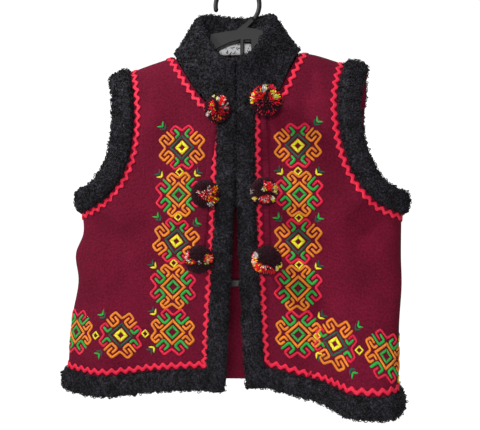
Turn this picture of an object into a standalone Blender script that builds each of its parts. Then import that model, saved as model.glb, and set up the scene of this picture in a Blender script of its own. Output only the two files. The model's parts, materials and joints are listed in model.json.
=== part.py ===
"""Embroidered folk vest with a pile-trimmed stand collar, hanging on a moulded hanger.

The vest is one cloth surface, worked out from a table of cross-sections.  Every piece that is
cut or sewn on is read from that surface: the panels, the pile bands along the edges, the
zigzag braid beside the bands and the pompoms.

Chart of the surface, used everywhere below:
  a  runs across the vest.  0 is the centre line, -1 the left side and +1 the right side.
     Past a side the chart goes on round to the other face.
  q  is the distance in metres from the shoulder line, down the front when it is positive and
     down the back when it is negative.
Left and right are as seen from the front.  The front faces -Y and the hook's inside top is
the origin.
"""

import math

import bmesh
import bpy
import numpy as np
from mathutils import Vector

MM = 0.001
COLLECTION = "folk_vest_on_hanger"

# ---- driving sizes ---------------------------------------------------------------------------
CLOTH_WALL = 2.0 * MM            # wool cloth with its stiffening
SEAM_GAP = 0.3 * MM              # clearance between pieces that are sewn edge to edge
LAY_GAP = 1.3 * MM               # clearance under a piece that is sewn on top of the cloth
PILE_HEIGHT = 6.5 * MM           # how far the looped pile stands off the cloth
FRONT_BAND_WIDTH = 19.5 * MM
HEM_BAND_WIDTH = 22.0 * MM
ARMHOLE_BAND_WIDTH = 25.0 * MM
BAND_OVERHANG = 1.5 * MM         # a band's reach past the cloth's cut edge
COLLAR_WALL = 9.0 * MM
COLLAR_FOOT_GAP = 3.0 * MM       # clearance between the neckline and the collar's foot
COLLAR_LEAN = 0.12               # how far the collar keeps the cloth's plane before it bends up
BRAID_WIDTH = 4.2 * MM           # the flat braid itself
BRAID_SWING = 1.9 * MM           # how far its zigzag swings to either side
BRAID_WALL = 1.0 * MM
BRAID_PERIOD = 11.0 * MM
NECK_BRAID_GAP = 1.5 * MM        # from the neckline to the braid below the collar
NECK_BRAID_SPAN = (2.1, 12.0)    # stations of the neck table between which that braid lies
FRONT_BRAID_START = 10.0 * MM    # from the hem band up to the foot of the front braid
FRONT_BRAID_END = 4.0 * MM       # from the front braid's top up to the neckline
SHOULDER_DROP = 45.0 * MM        # height over which the cloth rounds off the shoulder
SIDE_ROUNDNESS = 2.6             # exponent of the rounded oblong cross-section
SWING_START = 0.2                # share of the half width at which the forward swing starts
CHEST_HALF_WIDTH = 190.0 * MM
NOMINAL_DEPTH = 34.0 * MM
POMPOM_LOCKS = 40
POMPOM_CORE = 0.74               # radius of a pompom's core, as a share of the ball's
POMPOM_STAND = 0.80              # how far its centre stands off the pile, as the same share
POMPOM_FLAT = 0.70               # reach of the locks on the cloth's side, as the same share
LOCK_TAPER = 0.85                # a lock's tip against its root
LABEL_WALL = 0.8 * MM
LABEL_SPAN = (6.2, 7.6)          # stations of the neck table between which the label lies
LABEL_HEIGHTS = (0.02, 0.2, 0.38)

# ---- cross-sections of the cloth, from hem to shoulder, in millimetres -----------------------
# z: height below the hook; left, right: half widths; front, back: depths from the hanger's
# plane; swing: how far the right side stands forward of that plane
SECTION_COLUMNS = ("z", "left", "right", "front", "back", "swing")
SECTIONS = (
    (-490, 206, 170, 35, 34, 46),
    (-448, 205, 175, 35, 34, 42),
    (-391, 200, 181, 35, 33, 27),
    (-351, 193, 187, 35, 32, 14),
    (-317, 196, 188, 35, 32, 6),
    (-294, 187, 189, 35, 32, 2),
    (-270, 188, 190, 35, 32, 0),
    (-246, 190, 192, 34, 32, 0),
    (-200, 189, 190, 33, 31, 0),
    (-150, 188, 188, 32, 30, 0),
    (-110, 186, 186, 27, 31, 0),
    (-60, 184, 184, 23, 31, 0),
)

# ---- shoulder line: x against height, in millimetres -----------------------------------------
SHOULDER_LINE = (
    (-190, -124), (-155, -111), (-127, -99), (-76, -83), (-40, -73), (0, -68),
    (40, -72), (74, -82), (88, -84), (125, -95.5), (155, -105), (190, -116),
)

# ---- hem: chart position against the height of the front's and the back's hem ----------------
HEM_COLUMNS = ("a", "front", "back")
OPEN_FOLD_Z = -480               # a fold that ends below this runs out over the hem
HEM = (
    (-1.0, -479, -479),
    (-0.93, -479, -479),
    (-0.75, -480, -477),
    (-0.53, -477, -477),
    (-0.4, -472, -477),
    (-0.2, -468, -476),
    (-0.05, -467.5, -476),
    (0.06, -463.5, -476),
    (0.2, -464.5, -477),
    (0.3, -468, -477),
    (0.45, -473.5, -477),
    (0.6, -475, -477),
    (0.93, -476, -476),
    (1.0, -476, -476),
)

# ---- front edges: height against x, in millimetres -------------------------------------------
FRONT_EDGE_LEFT = ((-480, -13.5), (-404, -10), (-338, -6), (-264, -2.2), (-228, -1.1),
                   (-180, -0.3), (-140, -0.1))
FRONT_EDGE_RIGHT = ((-480, 20), (-430, 15), (-338, 8), (-246, 4), (-228, 3.4), (-140, 3))

# ---- neckline and collar, station by station round the neck, in millimetres ------------------
# face: +1 on the front panel, -1 on the back; x, z: the neckline on that panel;
# top_x, top_y, top_z: the collar's top there
NECK_COLUMNS = ("face", "x", "z", "top_x", "top_y", "top_z")
NECK = (
    (1, 0.3, -150, 0.9, -45, -100),
    (1, -15, -149.5, -12, -43, -96),
    (1, -32, -145, -24, -35, -84),
    (1, -56, -113, -36, -18, -60),
    (1, -76, -83, -44, 4, -35),
    (-1, -57, -80, -37, 21, -26),
    (-1, -30, -77, -18, 29, -27),
    (-1, 0, -76, -1, 31, -28),
    (-1, 28, -77, 16, 29, -28),
    (-1, 55, -79.5, 33, 21, -28),
    (1, 74, -82, 39, 4, -37),
    (1, 61, -110, 32, -18, -62),
    (1, 44, -141, 24, -33, -82),
    (1, 20, -149.5, 14, -42, -94),
    (1, 3.4, -150, 3.0, -45, -99),
)
LEFT_NECK_POINT = 4
RIGHT_NECK_POINT = 10

# ---- armholes: x, z on the panel, from the shoulder tip down to the underarm -----------------
LEFT_TIP_X = -153
RIGHT_TIP_X = 152
ARMHOLE_FRONT_LEFT = ((-144, -135), (-142, -160), (-145, -190), (-153, -214), (-169, -234))
ARMHOLE_BACK_LEFT = ((-152, -135), (-151, -160), (-152, -190), (-159, -214), (-173, -235))
ARMHOLE_FRONT_RIGHT = ((142, -130), (140, -155), (144, -184), (153, -211), (170, -235))
ARMHOLE_BACK_RIGHT = ((153, -130), (151, -155), (152, -184), (159, -211), (174, -236))
UNDERARM_LEFT_Z = -245
UNDERARM_RIGHT_Z = -246

# ---- largest folds, in millimetres; height is outward when it is positive --------------------
# columns: face, x_top, z_top, x_bottom, z_bottom, width, height
FOLDS = (
    (1, 78, -105, 84, -190, 9, -4),
    (1, 92, -100, 101, -200, 11, 4),
    (1, -150, -243, -104, -292, 10, 5),
    (1, -176, -262, -118, -325, 11, -5),
    (1, 163, -240, 104, -286, 10, 5),
    (1, 176, -262, 122, -318, 11, -5),
    (1, -96, -110, -88, -205, 13, 3),
    (1, -150, -360, -158, -485, 15, 5),
    (1, -103, -400, -106, -485, 15, -4),
    (1, 94, -375, 90, -485, 14, -4),
    (-1, -120, -250, -96, -360, 14, 5),
    (-1, 128, -246, 92, -350, 14, 5),
    (-1, -60, -330, -70, -485, 20, 5),
    (-1, 40, -345, 56, -485, 20, 6),
    (-1, 122, -390, 132, -485, 16, -6),
    (-1, -135, -380, -140, -485, 16, -5),
)

# the lower right front stands forward in one broad step beside a valley
STEP_X = 93
STEP_WIDTH = 32
STEP_TOP_Z = -352
STEP_BOTTOM_Z = -470
STEP_HEIGHT = 33

# ---- pompoms: centre x, z and radius, in millimetres -----------------------------------------
# columns: name, x, z, radius
POMPOMS = (
    ("pompom_top_left", -17, -157, 15.0),
    ("pompom_top_right", 35, -150, 17.5),
    ("pompom_middle_left", -29, -250, 15.5),
    ("pompom_middle_right", 32, -247, 15.0),
    ("pompom_bottom_left", -37, -321, 15.5),
    ("pompom_bottom_right", 38, -321, 16.0),
)

# ---- hanger, in millimetres ------------------------------------------------------------------
HANGER_THICKNESS = 8.0 * MM
HANGER_OUTLINE = (
    (-1, -53.3), (-14, -54.7), (-32, -57.3), (-34, -72), (-42, -87), (-57, -92.5), (-80, -94),
    (-127, -104.5), (-147, -114.5), (-149, -121), (-144, -126), (144, -121), (150, -116),
    (148, -111), (125, -101.5), (88, -92), (78, -92), (56, -91.5), (42, -86), (33, -71),
    (31, -55), (22, -52.5), (12.8, -50.8), (20.2, -43.8), (16.8, -39.4), (8.4, -46.2),
)
HANGER_WINDOW_LEFT = ((3.5, -65.5), (-10, -69), (-23, -75), (-36, -96), (-54, -105), (-92, -110),
                      (-92, -114), (3.5, -114))
HANGER_WINDOW_RIGHT = ((8, -66), (8, -114), (92, -111), (92, -108), (54, -103), (32, -93),
                       (17, -80), (16, -66))
HANGER_EDGE = 0.8 * MM           # bevel of the arms' edges
HOOK_ROD_RADIUS = 2.8 * MM
HOOK_BEND_RADIUS = 26.0 * MM
HOOK_TURN = (-36, 196)           # angles in degrees at which the bend starts and ends
HOOK_STEM = ((18.86, -41.3), (19.5, -40.8), (20.3, -39.9))
LOWER_FRAME_THICKNESS = 6.0 * MM
LOWER_FRAME = (
    (-122, -125.95), (-113, -352), (-108, -356.5), (108, -356.5), (113, -352), (122, -121.7),
    (114, -121.85), (104, -348.5), (-104, -348.5), (-114, -125.8),
)

# ---- colours ---------------------------------------------------------------------------------
WOOL_RED = (0.115, 0.010, 0.030)
PILE_BLACK = (0.012, 0.013, 0.015)
BRAID_RED = (0.750, 0.025, 0.070)
YARN_MIX = (0.160, 0.020, 0.030)
HANGER_GREY = (0.035, 0.036, 0.038)
LABEL_WHITE = (0.620, 0.630, 0.650)


# ---- table and curve helpers -----------------------------------------------------------------
def column(table, names, name):
    """One named column of a table, as floats."""
    place = names.index(name)
    return np.array([row[place] for row in table], dtype=float)


def smooth_at(x, keys, values):
    """Smooth curve through a table: cubic pieces whose slopes come from the neighbours."""
    keys = np.asarray(keys, dtype=float)
    values = np.asarray(values, dtype=float)
    slopes = np.gradient(values, keys)
    x = np.clip(np.asarray(x, dtype=float), keys[0], keys[-1])
    i = np.clip(np.searchsorted(keys, x, side="right") - 1, 0, len(keys) - 2)
    span = keys[i + 1] - keys[i]
    t = (x - keys[i]) / span
    rise = values[i] * (1 + 2 * t) * (1 - t) ** 2 + values[i + 1] * t * t * (3 - 2 * t)
    lean = slopes[i] * t * (1 - t) ** 2 - slopes[i + 1] * t * t * (1 - t)
    return rise + lean * span


def soft_step(t):
    """0 below 0, 1 above 1 and a soft rise between."""
    t = np.clip(t, 0.0, 1.0)
    return t * t * (3 - 2 * t)


def oblong_tables():
    """Width and depth shares of the rounded oblong, against distance along its outline."""
    turn = np.linspace(0, math.pi / 2, 2001)
    share = 2.0 / SIDE_ROUNDNESS
    width = np.sin(turn) ** share
    depth = np.cos(turn) ** share
    steps = np.hypot(np.diff(width) * CHEST_HALF_WIDTH, np.diff(depth) * NOMINAL_DEPTH)
    run = np.concatenate(([0], np.cumsum(steps)))
    return run / run[-1], width, depth


def shoulder_tables():
    """Distance over the shoulder's quarter oval, with its depth share and its drop."""
    turn = np.linspace(0, math.pi / 2, 801)
    depth = np.sin(turn)
    drop = SHOULDER_DROP * (1 - np.cos(turn))
    steps = np.hypot(np.diff(depth) * NOMINAL_DEPTH * 0.75, np.diff(drop))
    run = np.concatenate(([0], np.cumsum(steps)))
    return run, depth, drop


OBLONG_RUN, OBLONG_WIDTH, OBLONG_DEPTH = oblong_tables()
ROUND_RUN, ROUND_DEPTH, ROUND_DROP = shoulder_tables()
SECTION_Z = column(SECTIONS, SECTION_COLUMNS, "z") * MM
SECTION = {name: column(SECTIONS, SECTION_COLUMNS, name) * MM for name in SECTION_COLUMNS[1:]}
SHOULDER_X = np.array(SHOULDER_LINE, dtype=float)[:, 0] * MM
SHOULDER_Z = np.array(SHOULDER_LINE, dtype=float)[:, 1] * MM


# ---- the cloth surface -----------------------------------------------------------------------
def shoulder_height(a):
    """Height of the shoulder line at chart position a."""
    x = np.sign(a) * np.interp(np.abs(a), OBLONG_RUN, OBLONG_WIDTH) * CHEST_HALF_WIDTH
    return smooth_at(x, SHOULDER_X, SHOULDER_Z)


def drop_of(q):
    """Drop below the shoulder line after the distance q over and down the cloth."""
    q = np.abs(q)
    past = np.maximum(q - ROUND_RUN[-1], 0)
    return np.interp(q, ROUND_RUN, ROUND_DROP) + past


def reach_of(drop):
    """The distance over the cloth that gives a drop: the inverse of drop_of."""
    drop = np.maximum(drop, 0)
    past = np.maximum(drop - ROUND_DROP[-1], 0)
    return np.interp(drop, ROUND_DROP, ROUND_RUN) + past


def fold_relief(face, x, z):
    """Outward relief of the folds that lie on one face, as soft rounded ridges and troughs."""
    relief = np.zeros_like(x)
    for side, x_top, z_top, x_bottom, z_bottom, width, height in FOLDS:
        run = np.array([x_bottom - x_top, z_bottom - z_top]) * MM
        length = np.hypot(*run)
        run = run / length
        along = ((x - x_top * MM) * run[0] + (z - z_top * MM) * run[1]) / length
        across = (x - x_top * MM) * run[1] - (z - z_top * MM) * run[0]
        fade = soft_step(along / 0.35) * soft_step((1 - along) / 0.35)
        if z_bottom < OPEN_FOLD_Z:
            fade = soft_step(along / 0.5)
        bump = np.exp(-0.5 * (across / (width * MM)) ** 2)
        relief = relief + np.where(face == side, height * MM * bump * fade, 0)
    rise = soft_step((STEP_TOP_Z * MM - z) / ((STEP_TOP_Z - STEP_BOTTOM_Z) * MM))
    step = soft_step((x - STEP_X * MM) / (STEP_WIDTH * MM))
    return relief + np.where(face == 1, STEP_HEIGHT * MM * rise * step, 0)


def cloth(a, q):
    """Point of the cloth's outer face at chart position (a, q).

    Across, it is a rounded oblong whose half widths and depths come from the section table.
    Down, it rounds off the shoulder line over a quarter oval and then hangs.
    """
    a = np.asarray(a, dtype=float)
    q = np.asarray(q, dtype=float)
    past = np.abs(a) > 1
    a = np.where(past, np.sign(a) * 2 - a, a)
    q = np.where(past, -q, q)
    face = np.where(q < 0, -1, 1)
    width = np.interp(np.abs(a), OBLONG_RUN, OBLONG_WIDTH)
    depth = np.interp(np.abs(a), OBLONG_RUN, OBLONG_DEPTH)
    z = shoulder_height(a) - drop_of(q)
    half = np.where(a < 0, smooth_at(z, SECTION_Z, SECTION["left"]),
                    smooth_at(z, SECTION_Z, SECTION["right"]))
    x = np.sign(a) * half * width
    reach = np.where(face > 0, smooth_at(z, SECTION_Z, SECTION["front"]),
                     smooth_at(z, SECTION_Z, SECTION["back"]))
    rounding = np.interp(np.abs(q), ROUND_RUN, ROUND_DEPTH)
    swing_share = soft_step((x / half - SWING_START) / (1 - SWING_START))
    swing = smooth_at(z, SECTION_Z, SECTION["swing"]) * swing_share
    out = reach * depth * rounding + fold_relief(face, x, z) * np.sqrt(depth) * rounding
    return np.stack([x, -face * out - np.where(a > 0, swing, 0), z], axis=-1)


def cloth_frame(a, q):
    """Point, slopes along a and q, and outward normal of the cloth."""
    step_a = 0.0015
    step_q = 0.0004
    slope_a = (cloth(a + step_a, q) - cloth(a - step_a, q)) / (2 * step_a)
    slope_q = (cloth(a, q + step_q) - cloth(a, q - step_q)) / (2 * step_q)
    normal = np.cross(slope_q, slope_a)
    normal /= np.linalg.norm(normal, axis=-1, keepdims=True)
    return cloth(a, q), slope_a, slope_q, normal


def chart_of(x, z, face):
    """Chart position of the cloth's point at x, z on the front (+1) or the back (-1)."""
    x = np.asarray(x, dtype=float)
    z = np.asarray(z, dtype=float)
    half = np.where(x < 0, smooth_at(z, SECTION_Z, SECTION["left"]),
                    smooth_at(z, SECTION_Z, SECTION["right"]))
    share = np.clip(np.abs(x) / half, 0, 1)
    a = np.sign(x) * np.interp(share, OBLONG_WIDTH, OBLONG_RUN)
    return a, face * reach_of(shoulder_height(a) - z)


def walk(a, q, heading, distance, steps=4):
    """Chart position after walking a distance over the cloth in a heading (unit vectors)."""
    a = np.array(a, dtype=float)
    q = np.array(q, dtype=float)
    stride = (np.asarray(distance, dtype=float) / steps)[..., None] * np.ones_like(heading)
    for _ in range(steps):
        _, slope_a, slope_q, normal = cloth_frame(a, q)
        flat = heading - normal * np.sum(heading * normal, axis=-1, keepdims=True)
        flat = flat / np.linalg.norm(flat, axis=-1, keepdims=True) * stride
        aa = np.sum(slope_a * slope_a, axis=-1)
        qq = np.sum(slope_q * slope_q, axis=-1)
        aq = np.sum(slope_a * slope_q, axis=-1)
        fa = np.sum(flat * slope_a, axis=-1)
        fq = np.sum(flat * slope_q, axis=-1)
        spread = aa * qq - aq * aq
        a = a + (fa * qq - fq * aq) / spread
        q = q + (fq * aa - fa * aq) / spread
    return a, q


def path_run(a, q):
    """Real distance from a path's start to each of its points."""
    points = cloth(a, q)
    return np.concatenate(([0], np.cumsum(np.linalg.norm(np.diff(points, axis=0), axis=1))))


def even_path(a, q, count, closed=False):
    """The same path with its points spaced evenly, and its length."""
    run = path_run(a, q)
    wanted = np.linspace(0, run[-1], count + 1)[:-1] if closed else np.linspace(0, run[-1], count)
    return np.interp(wanted, run, a), np.interp(wanted, run, q), run[-1]


def path_with_sides(path, count, closed=False):
    """Evenly spaced points of a path, and unit vectors over the cloth square to it.

    The vectors point to the left of the path when it is seen from outside the cloth.
    """
    fine = 12
    total = count * fine if closed else (count - 1) * fine + 1
    a, q, _ = even_path(path[0], path[1], total, closed)
    points, _, _, normal = cloth_frame(a, q)
    if closed:
        along = np.roll(points, -1, axis=0) - np.roll(points, 1, axis=0)
    else:
        along = np.gradient(points, axis=0)
    side = np.cross(normal, along)
    side /= np.linalg.norm(side, axis=1, keepdims=True)
    return a[::fine], q[::fine], side[::fine]


# ---- edges of the panels, as chart paths -----------------------------------------------------
def hem_path(face, a):
    """Chart path along the hem of one face."""
    z = smooth_at(a, column(HEM, HEM_COLUMNS, "a"),
                  column(HEM, HEM_COLUMNS, "front" if face > 0 else "back") * MM)
    return a, face * reach_of(shoulder_height(a) - z)


def front_edge_path(table, below=0.0):
    """Chart path up a front edge, from a distance below the hem to the neck."""
    table = np.array(table, dtype=float) * MM
    top = NECK[0][NECK_COLUMNS.index("z")] * MM
    bottom = smooth_at(0.0, column(HEM, HEM_COLUMNS, "a"), column(HEM, HEM_COLUMNS, "front") * MM)
    z = np.linspace(bottom - below, top, 120)
    x = smooth_at(z, table[:, 0], table[:, 1])
    half = smooth_at(z, SECTION_Z, SECTION["left"])
    a = np.sign(x) * np.interp(np.abs(x) / half, OBLONG_WIDTH, OBLONG_RUN)
    return a, reach_of(shoulder_height(a) - z)


def neck_chart(t):
    """Chart position on the neckline, t counting the stations of the table."""
    face = column(NECK, NECK_COLUMNS, "face")
    x = column(NECK, NECK_COLUMNS, "x") * MM
    z = column(NECK, NECK_COLUMNS, "z") * MM
    a, q = chart_of(x, z, face)
    q[[LEFT_NECK_POINT, RIGHT_NECK_POINT]] = 0
    keys = np.arange(len(NECK))
    return smooth_at(t, keys, a), smooth_at(t, keys, q)


def neck_path(first, last, count):
    """Chart path round the neckline between two stations of the table."""
    return neck_chart(np.linspace(first, last, count))


def tip_chart(tip_x):
    """Chart position of a shoulder tip."""
    x = tip_x * MM
    z = smooth_at(x, SHOULDER_X, SHOULDER_Z)
    return float(chart_of(x, z, 1)[0]), 0.0


def armhole_path(tip_x, points, underarm_z, face):
    """Chart path from the shoulder tip down one face to the underarm."""
    side = np.sign(tip_x)
    points = np.array(points, dtype=float) * MM
    a, q = chart_of(points[:, 0], points[:, 1], face)
    under = face * reach_of(shoulder_height(side) - underarm_z * MM)
    a = np.concatenate(([tip_chart(tip_x)[0]], a, [side]))
    q = np.concatenate(([0.0], q, [under]))
    keys = np.arange(len(a))
    t = np.linspace(0, len(a) - 1, 40 * (len(a) - 1) + 1)
    return smooth_at(t, keys, a), smooth_at(t, keys, q)


def armhole_loop(tip_x, front, back, underarm_z):
    """Closed chart path: down the front from the tip, round the underarm and up the back."""
    side = np.sign(tip_x)
    a_front, q_front = armhole_path(tip_x, front, underarm_z, 1)
    a_back, q_back = armhole_path(tip_x, back, underarm_z, -1)
    a = np.concatenate((a_front, (2 * side - a_back)[::-1][1:]))
    q = np.concatenate((q_front, -q_back[::-1][1:]))
    return a, q


# ---- mesh helpers ----------------------------------------------------------------------------
def new_object(name, verts, faces, material, smooth=True):
    """A mesh object in the vest's collection."""
    mesh = bpy.data.meshes.new(name)
    mesh.from_pydata([tuple(v) for v in verts], [], [tuple(f) for f in faces])
    mesh.materials.append(material)
    if smooth:
        mesh.shade_smooth()
    piece = bpy.data.objects.new(name, mesh)
    bpy.data.collections[COLLECTION].objects.link(piece)
    return piece


def grid_faces(rows, columns):
    """Quads of a grid of rows by columns points."""
    index = np.arange(rows * columns).reshape(rows, columns)
    return np.stack([index[:-1, :-1], index[1:, :-1], index[1:, 1:], index[:-1, 1:]],
                    axis=-1).reshape(-1, 4)


def wall(name, outer, inner, material):
    """A closed wall between two matching grids of points, so that its rims stay square."""
    rows, columns = outer.shape[:2]
    count = rows * columns
    faces = grid_faces(rows, columns)
    index = np.arange(count).reshape(rows, columns)
    rim = np.concatenate([index[0, :-1], index[:-1, -1], index[-1, :0:-1], index[:0:-1, 0]])
    ahead = np.roll(rim, -1)
    rims = np.stack([rim, ahead, ahead + count, rim + count], axis=-1)
    faces = np.concatenate([faces, faces[:, ::-1] + count, rims])
    points = np.concatenate([outer.reshape(-1, 3), inner.reshape(-1, 3)])
    return closed_object(name, points, faces.tolist(), material)


def closed_object(name, points, faces, material):
    """A mesh object whose faces are turned outward."""
    piece = new_object(name, points, faces, material)
    shape = bmesh.new()
    shape.from_mesh(piece.data)
    bmesh.ops.recalc_face_normals(shape, faces=shape.faces)
    shape.to_mesh(piece.data)
    shape.free()
    return piece


def loft(name, rings, material, closed=False):
    """A closed solid through rings of points, round a loop or with capped ends."""
    count, size = rings.shape[:2]
    index = np.arange(count * size).reshape(count, size)
    ahead = np.roll(index, -1, axis=0) if closed else index[1:]
    here = index if closed else index[:-1]
    faces = np.stack([here, np.roll(here, -1, axis=1), np.roll(ahead, -1, axis=1), ahead],
                     axis=-1).reshape(-1, 4).tolist()
    if not closed:
        faces.append(index[0].tolist())
        faces.append(index[-1][::-1].tolist())
    return closed_object(name, rings.reshape(-1, 3), faces, material)


def plain_material(name, colour, roughness, metallic=0.0):
    """A Principled material with one colour."""
    material = bpy.data.materials.new(name)
    material.use_nodes = True
    shader = material.node_tree.nodes["Principled BSDF"]
    shader.inputs["Base Color"].default_value = (*colour, 1.0)
    shader.inputs["Roughness"].default_value = roughness
    shader.inputs["Metallic"].default_value = metallic
    return material


# ---- panels ----------------------------------------------------------------------------------
def stations(pieces):
    """Chart points along an edge: each piece gives a path, its count and how they crowd."""
    points = []
    for path, count, crowd in pieces:
        share = np.linspace(0, 1, count + 1)
        share = 1 - (1 - share) ** crowd if crowd >= 1 else share ** (1 / crowd)
        run = path_run(*path)
        here = np.stack([np.interp(share * run[-1], run, path[0]),
                         np.interp(share * run[-1], run, path[1])], axis=-1)
        points.append(here if not points else here[1:])
    return np.concatenate(points)


def patch(bottom, top, left, right):
    """Chart grid between four edges, each blended towards the edge opposite."""
    low = stations(bottom)[None]
    high = stations(top)[None]
    first = stations(left)[:, None]
    last = stations(right)[:, None]
    s = np.linspace(0, 1, low.shape[1])[None, :, None]
    t = np.linspace(0, 1, first.shape[0])[:, None, None]
    corners = ((1 - t) * ((1 - s) * low[:, :1] + s * low[:, -1:])
               + t * ((1 - s) * high[:, :1] + s * high[:, -1:]))
    grid = (1 - t) * low + t * high + (1 - s) * first + s * last - corners
    return grid[..., 0], grid[..., 1]


def side_path(side, face, underarm_z):
    """Chart path up the side seam, from the hem to the underarm."""
    _, q_hem = hem_path(face, side)
    q_top = face * reach_of(shoulder_height(side) - underarm_z * MM)
    q = np.linspace(float(q_hem), float(q_top), 60)
    return np.full_like(q, side), q


def reverse(path):
    """A chart path the other way round."""
    return path[0][::-1], path[1][::-1]


def straight(first, last, count=30):
    """A straight chart path between two chart positions."""
    return np.linspace(first[0], last[0], count), np.linspace(first[1], last[1], count)


def panel_wall(name, face, grid, material):
    """A panel on one face from its chart grid, with its wall inward and its seams apart."""
    seam_a = 1 - 0.6 * SEAM_GAP / CHEST_HALF_WIDTH
    a = np.clip(grid[0], -seam_a, seam_a)
    q = face * np.maximum(face * grid[1], 0.6 * SEAM_GAP)
    points, _, _, normal = cloth_frame(a, q)
    return wall(name, points, points - normal * CLOTH_WALL, material)


def front_panel(name, edge_table, first, last, tip_x, armhole, underarm_z, material):
    """One front, from its front edge to the side seam."""
    side = int(np.sign(tip_x))
    edge = front_edge_path(edge_table)
    neck = neck_path(first, last, 160)
    shoulder = straight((neck[0][-1], 0.0), tip_chart(tip_x))
    sleeve_edge = reverse(armhole_path(tip_x, armhole, underarm_z, 1))
    grid = patch([(hem_path(1, np.linspace(edge[0][0], side, 90)), 16, 1.2)],
                 [(neck, 9, 1), (shoulder, 7, 1)],
                 [(edge, 21, 1.15)],
                 [(side_path(side, 1, underarm_z), 12, 1), (sleeve_edge, 9, 1.5)])
    return panel_wall(name, 1, grid, material)


def back_panel(name, material):
    """The back in one piece, side to side and up to the shoulders and the neck."""
    left_sleeve = reverse(armhole_path(LEFT_TIP_X, ARMHOLE_BACK_LEFT, UNDERARM_LEFT_Z, -1))
    right_sleeve = reverse(armhole_path(RIGHT_TIP_X, ARMHOLE_BACK_RIGHT, UNDERARM_RIGHT_Z, -1))
    neck = neck_path(LEFT_NECK_POINT, RIGHT_NECK_POINT, 200)
    left_shoulder = straight(tip_chart(LEFT_TIP_X), (neck[0][0], 0.0))
    right_shoulder = straight((neck[0][-1], 0.0), tip_chart(RIGHT_TIP_X))
    half = np.linspace(0, 1, 90)
    grid = patch([(hem_path(-1, half - 1), 13, 0.8), (hem_path(-1, half), 13, 1.25)],
                 [(left_shoulder, 7, 1), (neck, 12, 1), (right_shoulder, 7, 1)],
                 [(side_path(-1, -1, UNDERARM_LEFT_Z), 12, 1), (left_sleeve, 9, 1.5)],
                 [(side_path(1, -1, UNDERARM_RIGHT_Z), 12, 1), (right_sleeve, 9, 1.5)])
    return panel_wall(name, -1, grid, material)


# ---- pile bands ------------------------------------------------------------------------------
# across the band: share of its width, share of the pile's height; the cloth side comes last
BAND_PROFILE = ((0.0, 0.25), (0.13, 0.85), (0.5, 1.05), (0.87, 0.85), (1.0, 0.25), (1.0, 0.0),
                (0.5, 0.0), (0.0, 0.0))


def pile_band(name, path, count, width, side, material, closed=False):
    """A band of looped pile on the cloth along an edge, a little past the edge."""
    a, q, heading = path_with_sides(path, count, closed)
    heading = heading * side
    rings = []
    for across, height in BAND_PROFILE:
        reach = np.full(len(a), across * (width + BAND_OVERHANG) - BAND_OVERHANG)
        a_here, q_here = walk(a, q, heading, reach)
        points, _, _, normal = cloth_frame(a_here, q_here)
        rings.append(points + normal * (LAY_GAP + height * PILE_HEIGHT))
    return loft(name, np.stack(rings, axis=1), material, closed)


def trimmed(path, start, end):
    """A chart path with a distance taken off each end."""
    a, q, length = even_path(path[0], path[1], 200)
    share = np.linspace(start / length, 1 - end / length, 200)
    keys = np.linspace(0, 1, 200)
    return np.interp(share, keys, a), np.interp(share, keys, q)


# ---- zigzag braid ----------------------------------------------------------------------------
def braid(name, path, offset, side, material, closed=False):
    """Zigzag braid laid on the cloth beside a path."""
    a, q, heading = path_with_sides(path, 200, closed)
    a, q = walk(a, q, heading * side, np.full(len(a), offset))
    if closed:
        back_to_start = abs(a[-1] - a[0]) > 1
        a = np.append(a, math.copysign(2, a[-1]) - a[0] if back_to_start else a[0])
        q = np.append(q, -q[0] if back_to_start else q[0])
    halves = 2 * round(path_run(a, q)[-1] / BRAID_PERIOD)
    a, q, heading = path_with_sides((a, q), halves if closed else halves + 1, closed)
    swing = np.where(np.arange(len(a)) % 2 == 0, BRAID_SWING, -BRAID_SWING)
    rows = []
    for edge, lift in ((-0.5, 0), (0.5, 0), (0.5, BRAID_WALL), (-0.5, BRAID_WALL)):
        a_here, q_here = walk(a, q, heading, swing + edge * BRAID_WIDTH)
        points, _, _, normal = cloth_frame(a_here, q_here)
        rows.append(points + normal * (LAY_GAP + lift))
    return loft(name, np.stack(rows, axis=1), material, closed)


# ---- collar ----------------------------------------------------------------------------------
def collar_wall(t, up, out):
    """Points of the collar's wall.

    t counts the neck stations, up runs from 0 at the foot to 1 at the top and out is the share
    of half the wall's thickness, outward when it is positive.  The wall leaves the neckline
    in the cloth's own plane and bends up to the collar's top line.
    """
    keys = np.arange(len(NECK))
    points, _, _, normal = cloth_frame(*neck_chart(t))
    ahead = cloth(*neck_chart(t + 0.02))
    behind = cloth(*neck_chart(t - 0.02))
    along = ahead - behind
    along /= np.linalg.norm(along, axis=1, keepdims=True)
    inward = np.cross(along, normal)
    foot = points - normal * 0.5 * CLOTH_WALL + inward * COLLAR_FOOT_GAP
    top = np.stack([smooth_at(t, keys, column(NECK, NECK_COLUMNS, n) * MM)
                    for n in ("top_x", "top_y", "top_z")], axis=-1)
    bend = foot + inward * COLLAR_LEAN * np.linalg.norm(top - foot, axis=1, keepdims=True)
    middle = foot * (1 - up) ** 2 + bend * 2 * up * (1 - up) + top * up ** 2
    rise = (bend - foot) * 2 * (1 - up) + (top - bend) * 2 * up
    course = np.gradient(foot, axis=0) * (1 - up) + np.gradient(top, axis=0) * up
    face = np.cross(rise, course)
    face /= np.linalg.norm(face, axis=1, keepdims=True)
    return middle + face * out * 0.5 * COLLAR_WALL


# up the wall, share of half its thickness: outside first, then over the top and down inside
COLLAR_PROFILE = ((0.0, 1.0), (0.33, 1.1), (0.66, 1.1), (0.93, 0.9), (1.0, 0.45),
                  (1.0, -0.45), (0.93, -0.9), (0.66, -1.0), (0.33, -1.0), (0.0, -1.0))


def collar(name, material):
    """A stand collar: a thick wall from the neckline up to the collar's own top line."""
    t = np.linspace(0, len(NECK) - 1, 43)
    rings = np.stack([collar_wall(t, up, out) for up, out in COLLAR_PROFILE], axis=1)
    return loft(name, rings, material)


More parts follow.
